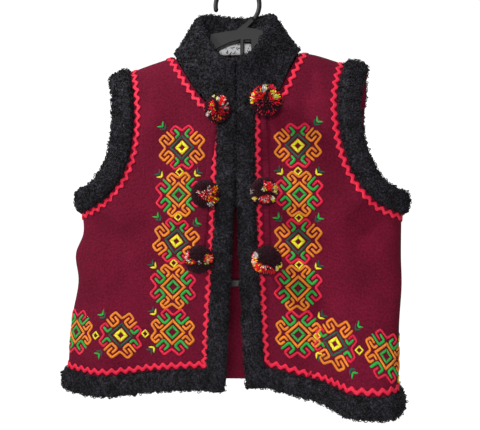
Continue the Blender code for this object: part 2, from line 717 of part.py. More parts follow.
def neck_label(name, material):
    """A bare woven label on the inside of the collar's back."""
    t = np.linspace(*LABEL_SPAN, 7)
    clear = 1 + 2 * LAY_GAP / COLLAR_WALL
    thick = clear + 2 * LABEL_WALL / COLLAR_WALL
    back = np.stack([collar_wall(t, up, -clear) for up in LABEL_HEIGHTS])
    front = np.stack([collar_wall(t, up, -thick) for up in LABEL_HEIGHTS])
    return wall(name, front, back, material)


# ---- pompoms ---------------------------------------------------------------------------------
def pompom(name, x, z, radius, seed, material):
    """A ball of yarn: a small core with separate three-sided locks standing out of it."""
    a, q = chart_of(np.array([x * MM]), np.array([z * MM]), 1)
    point, _, _, normal = cloth_frame(a, q)
    under = LAY_GAP + PILE_HEIGHT + SEAM_GAP
    outward = normal[0]
    radius = radius * MM
    centre = point[0] + outward * (under + POMPOM_STAND * radius)
    shape = bmesh.new()
    bmesh.ops.create_icosphere(shape, subdivisions=2, radius=POMPOM_CORE * radius)
    faces = list(shape.faces)
    order = np.random.default_rng(seed).permutation(len(faces))
    chosen = [faces[i] for i in order[:POMPOM_LOCKS]]
    result = bmesh.ops.extrude_discrete_faces(shape, faces=chosen)
    for lock in result["faces"]:
        middle = lock.calc_center_median()
        direction = middle.normalized()
        length = radius
        toward_cloth = -direction.dot(Vector(outward))
        if toward_cloth > 0.05:
            length = min(length, POMPOM_FLAT * radius / toward_cloth)
        for corner in lock.verts:
            corner.co = direction * length + (corner.co - middle) * LOCK_TAPER
    bmesh.ops.recalc_face_normals(shape, faces=shape.faces)
    mesh = bpy.data.meshes.new(name)
    shape.to_mesh(mesh)
    shape.free()
    mesh.materials.append(material)
    piece = bpy.data.objects.new(name, mesh)
    piece.location = centre
    bpy.data.collections[COLLECTION].objects.link(piece)
    return piece


# ---- hanger ----------------------------------------------------------------------------------
def flat_outline(name, outlines, thickness, bevel, material):
    """A flat moulding: a filled 2D curve in the hanger's plane, holes and all."""
    curve = bpy.data.curves.new(name, "CURVE")
    curve.dimensions = "2D"
    curve.fill_mode = "BOTH"
    curve.extrude = 0.5 * thickness - bevel
    curve.bevel_depth = bevel
    curve.bevel_resolution = 0
    curve.offset = -bevel
    for outline in outlines:
        spline = curve.splines.new("POLY")
        spline.points.add(len(outline) - 1)
        spline.use_cyclic_u = True
        for point, (x, z) in zip(spline.points, outline):
            point.co = (x * MM, z * MM, 0, 1)
    piece = bpy.data.objects.new(name, curve)
    piece.rotation_euler = (math.pi / 2, 0, 0)
    curve.materials.append(material)
    bpy.data.collections[COLLECTION].objects.link(piece)
    return piece


def hook(name, material):
    """The moulded hook: a round rod that leaves the neck sideways and bends over the rail."""
    centre_z = HOOK_ROD_RADIUS - HOOK_BEND_RADIUS
    turn = np.radians(np.linspace(*HOOK_TURN, 21))
    arc_x = HOOK_BEND_RADIUS * np.cos(turn)
    arc_z = centre_z + HOOK_BEND_RADIUS * np.sin(turn)
    stem = np.array(HOOK_STEM) * MM
    xs = np.concatenate((stem[:, 0], arc_x))
    zs = np.concatenate((stem[:, 1], arc_z))
    curve = bpy.data.curves.new(name, "CURVE")
    curve.dimensions = "3D"
    curve.bevel_depth = HOOK_ROD_RADIUS
    curve.bevel_resolution = 2
    curve.use_fill_caps = True
    spline = curve.splines.new("POLY")
    spline.points.add(len(xs) - 1)
    for point, x, z in zip(spline.points, xs, zs):
        point.co = (x, 0, z, 1)
    curve.materials.append(material)
    piece = bpy.data.objects.new(name, curve)
    bpy.data.collections[COLLECTION].objects.link(piece)
    return piece


# ---- the whole vest --------------------------------------------------------------------------
def clear_scene():
    """Remove what the scene holds and make the vest's collection."""
    for thing in list(bpy.data.objects):
        bpy.data.objects.remove(thing, do_unlink=True)
    held = bpy.data.collections.new(COLLECTION)
    bpy.context.scene.collection.children.link(held)


def build_cloth():
    """The three wool panels."""
    wool = plain_material("wool_red", WOOL_RED, 0.85)
    front_panel("front_left", FRONT_EDGE_LEFT, 0, LEFT_NECK_POINT, LEFT_TIP_X,
                ARMHOLE_FRONT_LEFT, UNDERARM_LEFT_Z, wool)
    front_panel("front_right", FRONT_EDGE_RIGHT, len(NECK) - 1, RIGHT_NECK_POINT, RIGHT_TIP_X,
                ARMHOLE_FRONT_RIGHT, UNDERARM_RIGHT_Z, wool)
    back_panel("back", wool)


def build_bands():
    """The pile bands, and the braid that lies beside each of them."""
    pile = plain_material("pile_black", PILE_BLACK, 0.9)
    red = plain_material("braid_red", BRAID_RED, 0.6)
    left_edge = front_edge_path(FRONT_EDGE_LEFT, BAND_OVERHANG)
    right_edge = front_edge_path(FRONT_EDGE_RIGHT, BAND_OVERHANG)
    band_end = FRONT_BAND_WIDTH + SEAM_GAP
    braid_gap = BRAID_SWING + 0.5 * BRAID_WIDTH + 2 * SEAM_GAP
    left_hem = hem_path(1, np.linspace(left_edge[0][0], -1, 90))
    right_hem = hem_path(1, np.linspace(right_edge[0][0], 1, 90))
    back_hem = hem_path(-1, np.linspace(-1, 1, 180))
    seam = 0.5 * SEAM_GAP
    pile_band("front_band_left", trimmed(left_edge, 0, SEAM_GAP), 25, FRONT_BAND_WIDTH, 1, pile)
    pile_band("front_band_right", trimmed(right_edge, 0, SEAM_GAP), 25, FRONT_BAND_WIDTH, -1,
              pile)
    pile_band("hem_band_left", trimmed(left_hem, band_end, seam), 20, HEM_BAND_WIDTH, -1, pile)
    pile_band("hem_band_right", trimmed(right_hem, band_end, seam), 27, HEM_BAND_WIDTH, 1, pile)
    pile_band("hem_band_back", trimmed(back_hem, seam, seam), 38, HEM_BAND_WIDTH, -1, pile)
    left_loop = armhole_loop(LEFT_TIP_X, ARMHOLE_FRONT_LEFT, ARMHOLE_BACK_LEFT, UNDERARM_LEFT_Z)
    right_loop = armhole_loop(RIGHT_TIP_X, ARMHOLE_FRONT_RIGHT, ARMHOLE_BACK_RIGHT,
                              UNDERARM_RIGHT_Z)
    pile_band("armhole_band_left", left_loop, 54, ARMHOLE_BAND_WIDTH, 1, pile, closed=True)
    pile_band("armhole_band_right", right_loop, 54, ARMHOLE_BAND_WIDTH, -1, pile, closed=True)
    collar("collar", pile)
    braid_foot = HEM_BAND_WIDTH + FRONT_BRAID_START
    for name, edge, side in (("braid_front_left", left_edge, 1),
                             ("braid_front_right", right_edge, -1)):
        braid(name, trimmed(edge, braid_foot, FRONT_BRAID_END), FRONT_BAND_WIDTH + braid_gap,
              side, red)
    braid("braid_hem_left", trimmed(left_hem, FRONT_BAND_WIDTH, seam),
          HEM_BAND_WIDTH + braid_gap, -1, red)
    braid("braid_hem_right", trimmed(right_hem, FRONT_BAND_WIDTH, seam),
          HEM_BAND_WIDTH + braid_gap, 1, red)
    braid("braid_hem_back", trimmed(back_hem, seam, seam), HEM_BAND_WIDTH + braid_gap, -1, red)
    neck_offset = BRAID_SWING + 0.5 * BRAID_WIDTH + NECK_BRAID_GAP
    braid("braid_neck", neck_path(*NECK_BRAID_SPAN, 300), neck_offset, 1, red)
    braid("braid_armhole_left", left_loop, ARMHOLE_BAND_WIDTH + braid_gap, 1, red, closed=True)
    braid("braid_armhole_right", right_loop, ARMHOLE_BAND_WIDTH + braid_gap, -1, red,
          closed=True)


def build_pompoms():
    """Six pompoms down the fronts."""
    yarn = plain_material("yarn_mix", YARN_MIX, 0.85)
    for seed, (name, x, z, radius) in enumerate(POMPOMS):
        pompom(name, x, z, radius, seed, yarn)


def build_hanger():
    """The hanger: arms with two windows, the hook, and the lower frame of struts and bar."""
    plastic = plain_material("hanger_plastic", HANGER_GREY, 0.45)
    flat_outline("hanger_arms", (HANGER_OUTLINE, HANGER_WINDOW_LEFT, HANGER_WINDOW_RIGHT),
                 HANGER_THICKNESS, HANGER_EDGE, plastic)
    hook("hanger_hook", plastic)
    flat_outline("hanger_lower_frame", (LOWER_FRAME,), LOWER_FRAME_THICKNESS, HANGER_EDGE,
                 plastic)
    neck_label("neck_label", plain_material("label_white", LABEL_WHITE, 0.7))


def main():
    """Build the vest on its hanger."""
    clear_scene()
    build_cloth()
    build_bands()
    build_pompoms()
    build_hanger()


main()
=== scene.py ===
"""Dressed model of an embroidered folk vest with a looped-pile collar, on a moulded hanger."""

import json
import math

import bpy
import numpy as np
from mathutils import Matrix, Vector

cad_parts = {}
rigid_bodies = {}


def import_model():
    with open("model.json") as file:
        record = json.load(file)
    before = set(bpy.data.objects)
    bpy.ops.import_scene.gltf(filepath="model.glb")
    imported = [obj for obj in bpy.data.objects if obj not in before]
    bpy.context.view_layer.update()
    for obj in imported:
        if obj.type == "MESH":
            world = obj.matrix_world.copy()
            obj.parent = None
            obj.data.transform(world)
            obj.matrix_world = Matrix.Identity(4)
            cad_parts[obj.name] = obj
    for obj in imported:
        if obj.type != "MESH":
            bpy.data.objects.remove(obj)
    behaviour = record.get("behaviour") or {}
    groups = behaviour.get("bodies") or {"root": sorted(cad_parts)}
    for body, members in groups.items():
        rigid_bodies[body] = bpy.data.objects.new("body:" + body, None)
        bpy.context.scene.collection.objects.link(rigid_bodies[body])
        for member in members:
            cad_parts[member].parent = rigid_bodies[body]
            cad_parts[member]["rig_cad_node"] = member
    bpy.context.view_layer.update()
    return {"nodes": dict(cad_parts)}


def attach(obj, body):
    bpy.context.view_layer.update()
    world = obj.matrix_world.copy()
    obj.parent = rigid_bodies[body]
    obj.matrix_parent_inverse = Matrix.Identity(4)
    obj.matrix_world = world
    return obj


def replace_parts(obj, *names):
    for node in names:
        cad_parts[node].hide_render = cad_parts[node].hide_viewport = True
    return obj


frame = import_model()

bl_info = {
    "name": "Folk vest",
    "version": (1, 0, 0),
    "blender": (4, 5, 0),
    "location": "View3D > Sidebar > Folk vest",
    "description": "Builds an embroidered folk vest piece by piece",
    "category": "Object",
}

MM = 0.001

# ---- the cloth's own form, in millimetres; the same tables as its solids ----
# columns: z, left and right half widths, front and back depths, forward swing of the right side
SECTIONS = np.array((
    (-490, 206, 170, 35, 34, 46),
    (-448, 205, 175, 35, 34, 42),
    (-391, 200, 181, 35, 33, 27),
    (-351, 193, 187, 35, 32, 14),
    (-317, 196, 188, 35, 32, 6),
    (-294, 187, 189, 35, 32, 2),
    (-270, 188, 190, 35, 32, 0),
    (-246, 190, 192, 34, 32, 0),
    (-200, 189, 190, 33, 31, 0),
    (-150, 188, 188, 32, 30, 0),
    (-110, 186, 186, 27, 31, 0),
    (-60, 184, 184, 23, 31, 0),
), dtype=float) * MM
SECTION_Z, HALF_LEFT, HALF_RIGHT, DEPTH_FRONT, DEPTH_BACK, SWING = SECTIONS.T
# columns: x, z
SHOULDER_LINE = np.array((
    (-190, -124), (-155, -111), (-127, -99), (-76, -83), (-40, -73), (0, -68),
    (40, -72), (74, -82), (88, -84), (125, -95.5), (155, -105), (190, -116),
), dtype=float) * MM
# columns: chart position, height of the front's hem, height of the back's hem
HEM = np.array((
    (-1.0, -479, -479),
    (-0.93, -479, -479),
    (-0.75, -480, -477),
    (-0.53, -477, -477),
    (-0.4, -472, -477),
    (-0.2, -468, -476),
    (-0.05, -467.5, -476),
    (0.06, -463.5, -476),
    (0.2, -464.5, -477),
    (0.3, -468, -477),
    (0.45, -473.5, -477),
    (0.6, -475, -477),
    (0.93, -476, -476),
    (1.0, -476, -476),
), dtype=float)
# columns: z, x
FRONT_EDGE_LEFT = ((-480, -13.5), (-404, -10), (-338, -6), (-264, -2.2), (-228, -1.1),
                   (-180, -0.3), (-140, -0.1))
FRONT_EDGE_RIGHT = ((-480, 20), (-430, 15), (-338, 8), (-246, 4), (-228, 3.4), (-140, 3))
# columns: face (front +1, back -1), x and z of the neckline, x, y and z of the collar's top
NECK = np.array((
    (1, 0.3, -150, 0.9, -45, -100),
    (1, -15, -149.5, -12, -43, -96),
    (1, -32, -145, -24, -35, -84),
    (1, -56, -113, -36, -18, -60),
    (1, -76, -83, -44, 4, -35),
    (-1, -57, -80, -37, 21, -26),
    (-1, -30, -77, -18, 29, -27),
    (-1, 0, -76, -1, 31, -28),
    (-1, 28, -77, 16, 29, -28),
    (-1, 55, -79.5, 33, 21, -28),
    (1, 74, -82, 39, 4, -37),
    (1, 61, -110, 32, -18, -62),
    (1, 44, -141, 24, -33, -82),
    (1, 20, -149.5, 14, -42, -94),
    (1, 3.4, -150, 3.0, -45, -99),
), dtype=float)
LEFT_NECK_POINT = 4
RIGHT_NECK_POINT = 10
NECK_Z = -150
TIP_X = {-1: -153, 1: 152}
UNDERARM_Z = {-1: -245, 1: -246}
# armhole lines by side and face: x, z from the shoulder tip down to the underarm
ARMHOLE = {
    (-1, 1): ((-144, -135), (-142, -160), (-145, -190), (-153, -214), (-169, -234)),
    (-1, -1): ((-152, -135), (-151, -160), (-152, -190), (-159, -214), (-173, -235)),
    (1, 1): ((142, -130), (140, -155), (144, -184), (153, -211), (170, -235)),
    (1, -1): ((153, -130), (151, -155), (152, -184), (159, -211), (174, -236)),
}
SHOULDER_DROP = 45 * MM
SHOULDER_GAP = 0.1 * MM
SIDE_ROUNDNESS = 2.6
SWING_START = 0.2
CHEST_HALF_WIDTH = 190 * MM
NOMINAL_DEPTH = 34 * MM
OPEN_FOLD_Z = -480
FOLD_FADE = 0.35
OPEN_FOLD_FADE = 0.5
# soft waves over all the cloth: height, wavelength, seed
SWAYS = ((0.45, 55, 3), (0.16, 17, 5))
# columns: face, x and z of the upper end, x and z of the lower end, width, outward height
FOLDS = (
    (1, 78, -105, 84, -190, 9, -4),
    (1, 92, -100, 101, -200, 11, 4),
    (1, -150, -243, -104, -292, 10, 5),
    (1, -176, -262, -118, -325, 11, -5),
    (1, 163, -240, 104, -286, 10, 5),
    (1, 176, -262, 122, -318, 11, -5),
    (1, -96, -110, -88, -205, 13, 3),
    (1, -150, -360, -158, -485, 15, 5),
    (1, -103, -400, -106, -485, 15, -4),
    (1, 94, -375, 90, -485, 14, -4),
    (-1, -120, -250, -96, -360, 14, 5),
    (-1, 128, -246, 92, -350, 14, 5),
    (-1, -60, -330, -70, -485, 20, 5),
    (-1, 40, -345, 56, -485, 20, 6),
    (-1, 122, -390, 132, -485, 16, -6),
    (-1, -135, -380, -140, -485, 16, -5),
)
# finer creases that only the dressed cloth has; the same columns
CREASES = (
    (1, -158, -248, -128, -268, 3.5, -1.6),
    (1, -166, -256, -120, -296, 4.0, 1.3),
    (1, -170, -275, -140, -306, 4.5, -1.4),
    (1, 168, -250, 130, -272, 3.5, -1.8),
    (1, 172, -262, 122, -300, 4.0, 1.5),
    (1, 176, -285, 148, -318, 5.0, -1.5),
    (1, 84, -98, 90, -150, 4.0, -1.6),
    (1, 70, -100, 74, -165, 6.0, 1.2),
    (1, -70, -100, -74, -150, 6.0, -1.0),
    (1, -178, -300, -150, -345, 6.0, 1.5),
    (1, -120, -262, -112, -330, 8.0, -1.2),
    (1, 124, -300, 132, -372, 8.0, 1.4),
    (1, 108, -352, 112, -485, 5.0, -2.0),
    (1, -132, -372, -126, -485, 7.0, -1.4),
    (-1, -158, -250, -118, -282, 4.0, -1.6),
    (-1, -164, -262, -110, -310, 5.0, 1.4),
    (-1, 162, -252, 120, -286, 4.0, -1.7),
    (-1, 168, -266, 112, -316, 5.0, 1.4),
    (-1, -30, -110, -60, -170, 7.0, -1.2),
    (-1, 36, -112, 62, -176, 7.0, -1.2),
    (-1, 0, -120, 4, -210, 9.0, 1.2),
    (-1, -20, -350, -24, -485, 8.0, -1.8),
    (-1, 84, -360, 92, -485, 8.0, -1.8),
    (-1, -104, -360, -110, -485, 7.0, 1.6),
    (-1, 150, -330, 160, -485, 7.0, 1.6),
)
# the right front's valley and the fullness that swings out beside it
STEP_X = 93
STEP_WIDTH = 32
STEP_TOP_Z = -352
STEP_BOTTOM_Z = -470
STEP_HEIGHT = 33

# ---- sewn pieces, in millimetres ----
# how far the pile stands out past its edge; the five are those of a front band, from the hem up
BAND_OVERHANG = 1.5
MIDDLE_OVERHANGS = (2.6, 2.2, 1.2, 1.8, 3.6)
RIGHT_HEM_OVERHANG = 0.2
BACK_HEM_OVERHANG = -1.0
# how far the front bands run under the collar and over the hem bands
BAND_TUCK = 5.0
HEM_BAND_WIDTH = 22
# the zigzag's whole span, how far it runs under a front band, and its gaps from the others
BRAID_SPAN = 8.6
BRAID_TUCK = 2.0
BRAID_GAP = 0.6
NECK_BRAID_GAP = 1.1
COLLAR_WALL = 9.0 * MM
COLLAR_FOOT_GAP = 1.6 * MM
COLLAR_SINK = 1.0 * MM
COLLAR_LEAN = 0.12
COLLAR_MEET = 1.1 * MM
# columns: name, x, z and radius
POMPOMS = (
    ("pompom_top_left", -17, -157, 15.0),
    ("pompom_top_right", 35, -150, 17.5),
    ("pompom_middle_left", -29, -250, 15.5),
    ("pompom_middle_right", 32, -247, 15.0),
    ("pompom_bottom_left", -37, -321, 15.5),
    ("pompom_bottom_right", 38, -321, 16.0),
)


# ---- curve helpers ----
def smooth_at(x, keys, values):
    """Cubic pieces through a table, whose slopes come from the neighbouring rows."""
    keys = np.asarray(keys, dtype=float)
    values = np.asarray(values, dtype=float)
    slopes = np.gradient(values, keys)
    x = np.clip(np.asarray(x, dtype=float), keys[0], keys[-1])
    i = np.clip(np.searchsorted(keys, x, side="right") - 1, 0, len(keys) - 2)
    span = keys[i + 1] - keys[i]
    t = (x - keys[i]) / span
    rise = values[i] * (1 + 2 * t) * (1 - t) ** 2 + values[i + 1] * t * t * (3 - 2 * t)
    lean = slopes[i] * t * (1 - t) ** 2 - slopes[i + 1] * t * t * (1 - t)
    return rise + lean * span


def soft_step(t):
    """0 below 0, 1 above 1 and 3t^2 - 2t^3 between."""
    t = np.clip(t, 0.0, 1.0)
    return t * t * (3 - 2 * t)


def unit(v):
    """Vectors along the last axis, made one long."""
    return v / np.maximum(np.linalg.norm(v, axis=-1, keepdims=True), 1e-12)


def ripple(points, wavelength, seed, waves=14):
    """Soft uneven relief about zero: a sum of plane waves in random directions."""
    rng = np.random.default_rng(seed)
    heading = unit(rng.normal(size=(waves, 3)))
    pace = 2 * math.pi / (wavelength * rng.uniform(0.7, 1.4, size=(waves, 1)))
    phase = rng.uniform(0, 2 * math.pi, waves)
    return np.cos(points @ (heading * pace).T + phase).sum(axis=-1) / math.sqrt(waves / 2)


def oblong_tables():
    """Width and depth shares of the rounded oblong, against distance along its outline."""
    turn = np.linspace(0, math.pi / 2, 2001)
    share = 2.0 / SIDE_ROUNDNESS
    width = np.sin(turn) ** share
    depth = np.cos(turn) ** share
    steps = np.hypot(np.diff(width) * CHEST_HALF_WIDTH, np.diff(depth) * NOMINAL_DEPTH)
    run = np.concatenate(([0], np.cumsum(steps)))
    return run / run[-1], width, depth, run[-1]


def shoulder_tables():
    """Distance over the shoulder's quarter oval, with its depth share and its drop."""
    turn = np.linspace(0, math.pi / 2, 801)
    depth = np.sin(turn)
    drop = SHOULDER_DROP * (1 - np.cos(turn))
    steps = np.hypot(np.diff(depth) * NOMINAL_DEPTH * 0.75, np.diff(drop))
    run = np.concatenate(([0], np.cumsum(steps)))
    return run, depth, drop


OBLONG_RUN, OBLONG_WIDTH, OBLONG_DEPTH, QUARTER = oblong_tables()
ROUND_RUN, ROUND_DEPTH, ROUND_DROP = shoulder_tables()


# ---- the cloth surface ----
def shoulder_height(a):
    """Height of the shoulder line at chart position a."""
    x = np.sign(a) * np.interp(np.abs(a), OBLONG_RUN, OBLONG_WIDTH) * CHEST_HALF_WIDTH
    return smooth_at(x, SHOULDER_LINE[:, 0], SHOULDER_LINE[:, 1])


def drop_of(q):
    """Drop below the shoulder line after the distance q over and down the cloth."""
    q = np.abs(q)
    return np.interp(q, ROUND_RUN, ROUND_DROP) + np.maximum(q - ROUND_RUN[-1], 0)


def reach_of(drop):
    """The inverse of drop_of."""
    drop = np.maximum(drop, 0)
    return np.interp(drop, ROUND_DROP, ROUND_RUN) + np.maximum(drop - ROUND_DROP[-1], 0)


def fold_relief(face, x, z):
    """Outward relief: each fold is a bell across its own line, faded towards its ends."""
    relief = np.zeros_like(x)
    for side, x_top, z_top, x_bottom, z_bottom, width, height in FOLDS + CREASES:
        run = np.array([x_bottom - x_top, z_bottom - z_top]) * MM
        length = np.hypot(*run)
        run = run / length
        along = ((x - x_top * MM) * run[0] + (z - z_top * MM) * run[1]) / length
        across = (x - x_top * MM) * run[1] - (z - z_top * MM) * run[0]
        fade = soft_step(along / FOLD_FADE) * soft_step((1 - along) / FOLD_FADE)
        if z_bottom < OPEN_FOLD_Z:
            fade = soft_step(along / OPEN_FOLD_FADE)
        bump = np.exp(-0.5 * (across / (width * MM)) ** 2)
        relief = relief + np.where(face == side, height * MM * bump * fade, 0)
    rise = soft_step((STEP_TOP_Z * MM - z) / ((STEP_TOP_Z - STEP_BOTTOM_Z) * MM))
    step = soft_step((x - STEP_X * MM) / (STEP_WIDTH * MM))
    flat = np.stack([x, 0.4 * z, 0.2 * z * face], axis=-1)
    sway = sum(height * MM * ripple(flat, pitch * MM, seed) for height, pitch, seed in SWAYS)
    return relief + sway + np.where(face == 1, STEP_HEIGHT * MM * rise * step, 0)


def cloth(a, q):
    """Point of the cloth's outer face at chart position (a, q).

    a runs across, from -1 at the left side over 0 to +1 at the right side and on round the
    back to 3; q is the distance from the shoulder line, positive on the front.  Across, the
    cloth is a rounded oblong with half widths and depths from the section table.  Down, it
    rounds off the shoulder line over a quarter oval and then hangs.
    """
    a = (np.asarray(a, dtype=float) + 1) % 4 - 1
    q = np.asarray(q, dtype=float)
    past = a > 1
    a = np.where(past, 2 - a, a)
    q = np.where(past, -q, q)
    face = np.where(q < 0, -1, 1)
    width = np.interp(np.abs(a), OBLONG_RUN, OBLONG_WIDTH)
    depth = np.interp(np.abs(a), OBLONG_RUN, OBLONG_DEPTH)
    z = shoulder_height(a) - drop_of(q)
    half = np.where(a < 0, smooth_at(z, SECTION_Z, HALF_LEFT), smooth_at(z, SECTION_Z, HALF_RIGHT))
    x = np.sign(a) * half * width
    reach = np.where(face > 0, smooth_at(z, SECTION_Z, DEPTH_FRONT),
                     smooth_at(z, SECTION_Z, DEPTH_BACK))
    rounding = np.interp(np.abs(q), ROUND_RUN, ROUND_DEPTH)
    share = soft_step((x / half - SWING_START) / (1 - SWING_START))
    swing = smooth_at(z, SECTION_Z, SWING) * share
    out = reach * depth * rounding + fold_relief(face, x, z) * np.sqrt(depth) * rounding
    return np.stack([x, -face * out - np.where(a > 0, swing, 0), z], axis=-1)


def cloth_frame(a, q):
    """Point, slopes along a and q, and outward normal of the cloth."""
    step_a = 0.0015
    step_q = 0.0004
    slope_a = (cloth(a + step_a, q) - cloth(a - step_a, q)) / (2 * step_a)
    slope_q = (cloth(a, q + step_q) - cloth(a, q - step_q)) / (2 * step_q)
    return cloth(a, q), slope_a, slope_q, unit(np.cross(slope_q, slope_a))


def chart_of(x, z, face):
    """Chart position of the cloth's point at x, z on the front (+1) or the back (-1)."""
    x = np.asarray(x, dtype=float)
    z = np.asarray(z, dtype=float)
    half = np.where(x < 0, smooth_at(z, SECTION_Z, HALF_LEFT), smooth_at(z, SECTION_Z, HALF_RIGHT))
    a = np.sign(x) * np.interp(np.clip(np.abs(x) / half, 0, 1), OBLONG_WIDTH, OBLONG_RUN)
    return a, face * reach_of(shoulder_height(a) - z)


def walk(a, q, heading, distance, steps=4):
    """Chart position after walking a distance over the cloth in a heading (unit vectors)."""
    a = np.array(a, dtype=float)
    q = np.array(q, dtype=float)
    stride = (np.asarray(distance, dtype=float) / steps)[..., None] * np.ones_like(heading)
    for _ in range(steps):
        _, slope_a, slope_q, normal = cloth_frame(a, q)
        flat = heading - normal * np.sum(heading * normal, axis=-1, keepdims=True)
        flat = unit(flat) * stride
        aa = np.sum(slope_a * slope_a, axis=-1)
        qq = np.sum(slope_q * slope_q, axis=-1)
        aq = np.sum(slope_a * slope_q, axis=-1)
        fa = np.sum(flat * slope_a, axis=-1)
        fq = np.sum(flat * slope_q, axis=-1)
        spread = aa * qq - aq * aq
        a = a + (fa * qq - fq * aq) / spread
        q = q + (fq * aa - fa * aq) / spread
    return a, q


def run_along(points):
    """Distance along a line of points, from its start to each of them."""
    steps = np.linalg.norm(np.diff(points, axis=0), axis=1)
    return np.concatenate(([0], np.cumsum(steps)))


def path_run(a, q):
    """Real distance from a path's start to each of its points."""
    return run_along(cloth(a, q))


def even_path(a, q, count, closed=False):
    """The same path with its points spaced evenly, and its length."""
    run = path_run(a, q)
    wanted = np.linspace(0, run[-1], count + 1)[:-1] if closed else np.linspace(0, run[-1], count)
    return np.interp(wanted, run, a), np.interp(wanted, run, q), run[-1]


def path_with_sides(path, count, closed=False):
    """Evenly spaced points of a path, and unit vectors to its left, seen from outside."""
    fine = 6
    total = count * fine if closed else (count - 1) * fine + 1
    a, q, _ = even_path(path[0], path[1], total, closed)
    points, _, _, normal = cloth_frame(a, q)
    if closed:
        along = np.roll(points, -1, axis=0) - np.roll(points, 1, axis=0)
    else:
        along = np.gradient(points, axis=0)
    return a[::fine], q[::fine], unit(np.cross(normal, along))[::fine]


# ---- edges of the panels, as chart paths ----
def hem_path(face, a):
    """Chart path along the hem of one face."""
    z = smooth_at(a, HEM[:, 0], HEM[:, 1 if face > 0 else 2] * MM)
    return a, face * reach_of(shoulder_height(a) - z)


def hem_run(face, first, last, count=90):
    """Chart path along the hem of one face between two chart positions."""
    return hem_path(face, np.linspace(first, last, count))


def front_edge_path(table, below=0.0, above=0.0):
    """Chart path up a front edge, from a distance below the hem to one above the neck."""
    table = np.array(table, dtype=float) * MM
    foot_a = table[0, 1] / CHEST_HALF_WIDTH
    z = np.linspace(smooth_at(foot_a, HEM[:, 0], HEM[:, 1] * MM) - below, NECK_Z * MM + above, 120)
    x = smooth_at(z, table[:, 0], table[:, 1])
    half = smooth_at(z, SECTION_Z, HALF_LEFT)
    a = np.sign(x) * np.interp(np.abs(x) / half, OBLONG_WIDTH, OBLONG_RUN)
    return a, reach_of(shoulder_height(a) - z)


def neck_chart(t):
    """Chart position on the neckline, t counting the rows of the neck table."""
    a, q = chart_of(NECK[:, 1] * MM, NECK[:, 2] * MM, NECK[:, 0])
    q[[LEFT_NECK_POINT, RIGHT_NECK_POINT]] = 0
    keys = np.arange(len(NECK))
    return smooth_at(t, keys, a), smooth_at(t, keys, q)


def neck_path(first, last, count):
    """Chart path round the neckline between two rows of the neck table."""
    return neck_chart(np.linspace(first, last, count))


def tip_chart(side):
    """Chart position of a shoulder tip."""
    x = TIP_X[side] * MM
    z = smooth_at(x, SHOULDER_LINE[:, 0], SHOULDER_LINE[:, 1])
    return float(chart_of(x, z, 1)[0]), 0.0


def armhole_path(side, face):
    """Chart path from the shoulder tip down one face to the underarm."""
    points = np.array(ARMHOLE[side, face], dtype=float) * MM
    a, q = chart_of(points[:, 0], points[:, 1], face)
    under = face * reach_of(shoulder_height(side) - UNDERARM_Z[side] * MM)
    a = np.concatenate(([tip_chart(side)[0]], a, [side]))
    q = np.concatenate(([0.0], q, [under]))
    keys = np.arange(len(a))
    t = np.linspace(0, len(a) - 1, 40 * (len(a) - 1) + 1)
    return smooth_at(t, keys, a), smooth_at(t, keys, q)


def armhole_loop(side):
    """Closed chart path: from the underarm up the back to the tip, and down the front."""
    a_front, q_front = armhole_path(side, 1)
    a_back, q_back = armhole_path(side, -1)
    return (np.concatenate((a_back[::-1], a_front[1:])),
            np.concatenate((q_back[::-1], q_front[1:])))


def reverse(path):
    """A chart path the other way round."""
    return path[0][::-1], path[1][::-1]


# ---- mesh helpers ----
def grid_faces(rows, columns, ring_rows=False, ring_columns=False):
    """Quads of a grid of rows by columns points, closed round either way if asked."""
    index = np.arange(rows * columns).reshape(rows, columns)
    down = np.roll(index, -1, axis=0) if ring_rows else index[1:]
    here = index if ring_rows else index[:-1]
    if ring_columns:
        quads = [here, down, np.roll(down, -1, axis=1), np.roll(here, -1, axis=1)]
    else:
        quads = [here[:, :-1], down[:, :-1], down[:, 1:], here[:, 1:]]
    return np.stack(quads, axis=-1).reshape(-1, 4)


def inside_out(faces, points):
    """Whether the shell's faces enclose a negative volume, so that they point inward."""
    first = points[faces[:, 0]]
    fans = [np.einsum("ij,ij->i", first, np.cross(points[faces[:, k]], points[faces[:, k + 1]]))
            for k in range(1, faces.shape[1] - 1)]
    return sum(fans).sum() < 0


def new_piece(name, points, quads, material, others=(), uv=None, colours=None, smooth=True,
              turned=False):
    """A mesh object from arrays: quads and then arrays of other faces, turned round if asked."""
    points = np.asarray(points, dtype=np.float32).reshape(-1, 3)
    groups = [np.asarray(group, dtype=np.int32) for group in (quads, *others)]
    if turned:
        groups = [group[:, ::-1] for group in groups]
    loops = np.concatenate([group.reshape(-1) for group in groups])
    sizes = np.concatenate([np.full(len(group), group.shape[1], np.int32) for group in groups])
    mesh = bpy.data.meshes.new(name)
    mesh.vertices.add(len(points))
    mesh.vertices.foreach_set("co", points.reshape(-1))
    mesh.loops.add(len(loops))
    mesh.loops.foreach_set("vertex_index", loops)
    mesh.polygons.add(len(sizes))
    starts = np.concatenate(([0], np.cumsum(sizes)[:-1])).astype(np.int32)
    mesh.polygons.foreach_set("loop_start", starts)
    mesh.polygons.foreach_set("use_smooth", np.full(len(sizes), smooth))
    if uv is not None:
        layer = mesh.uv_layers.new(name="UVMap")
        layer.data.foreach_set("uv", np.asarray(uv, dtype=np.float32)[loops].reshape(-1))
    if colours is not None:
        tint = mesh.color_attributes.new("tint", "FLOAT_COLOR", "POINT")
        full = np.concatenate([colours, np.ones((len(colours), 1))], axis=1)
        tint.data.foreach_set("color", full.astype(np.float32).reshape(-1))
    mesh.update(calc_edges=True)
    mesh.validate()
    mesh.materials.append(material)
    piece = bpy.data.objects.new(name, mesh)
    bpy.context.scene.collection.objects.link(piece)
    return piece


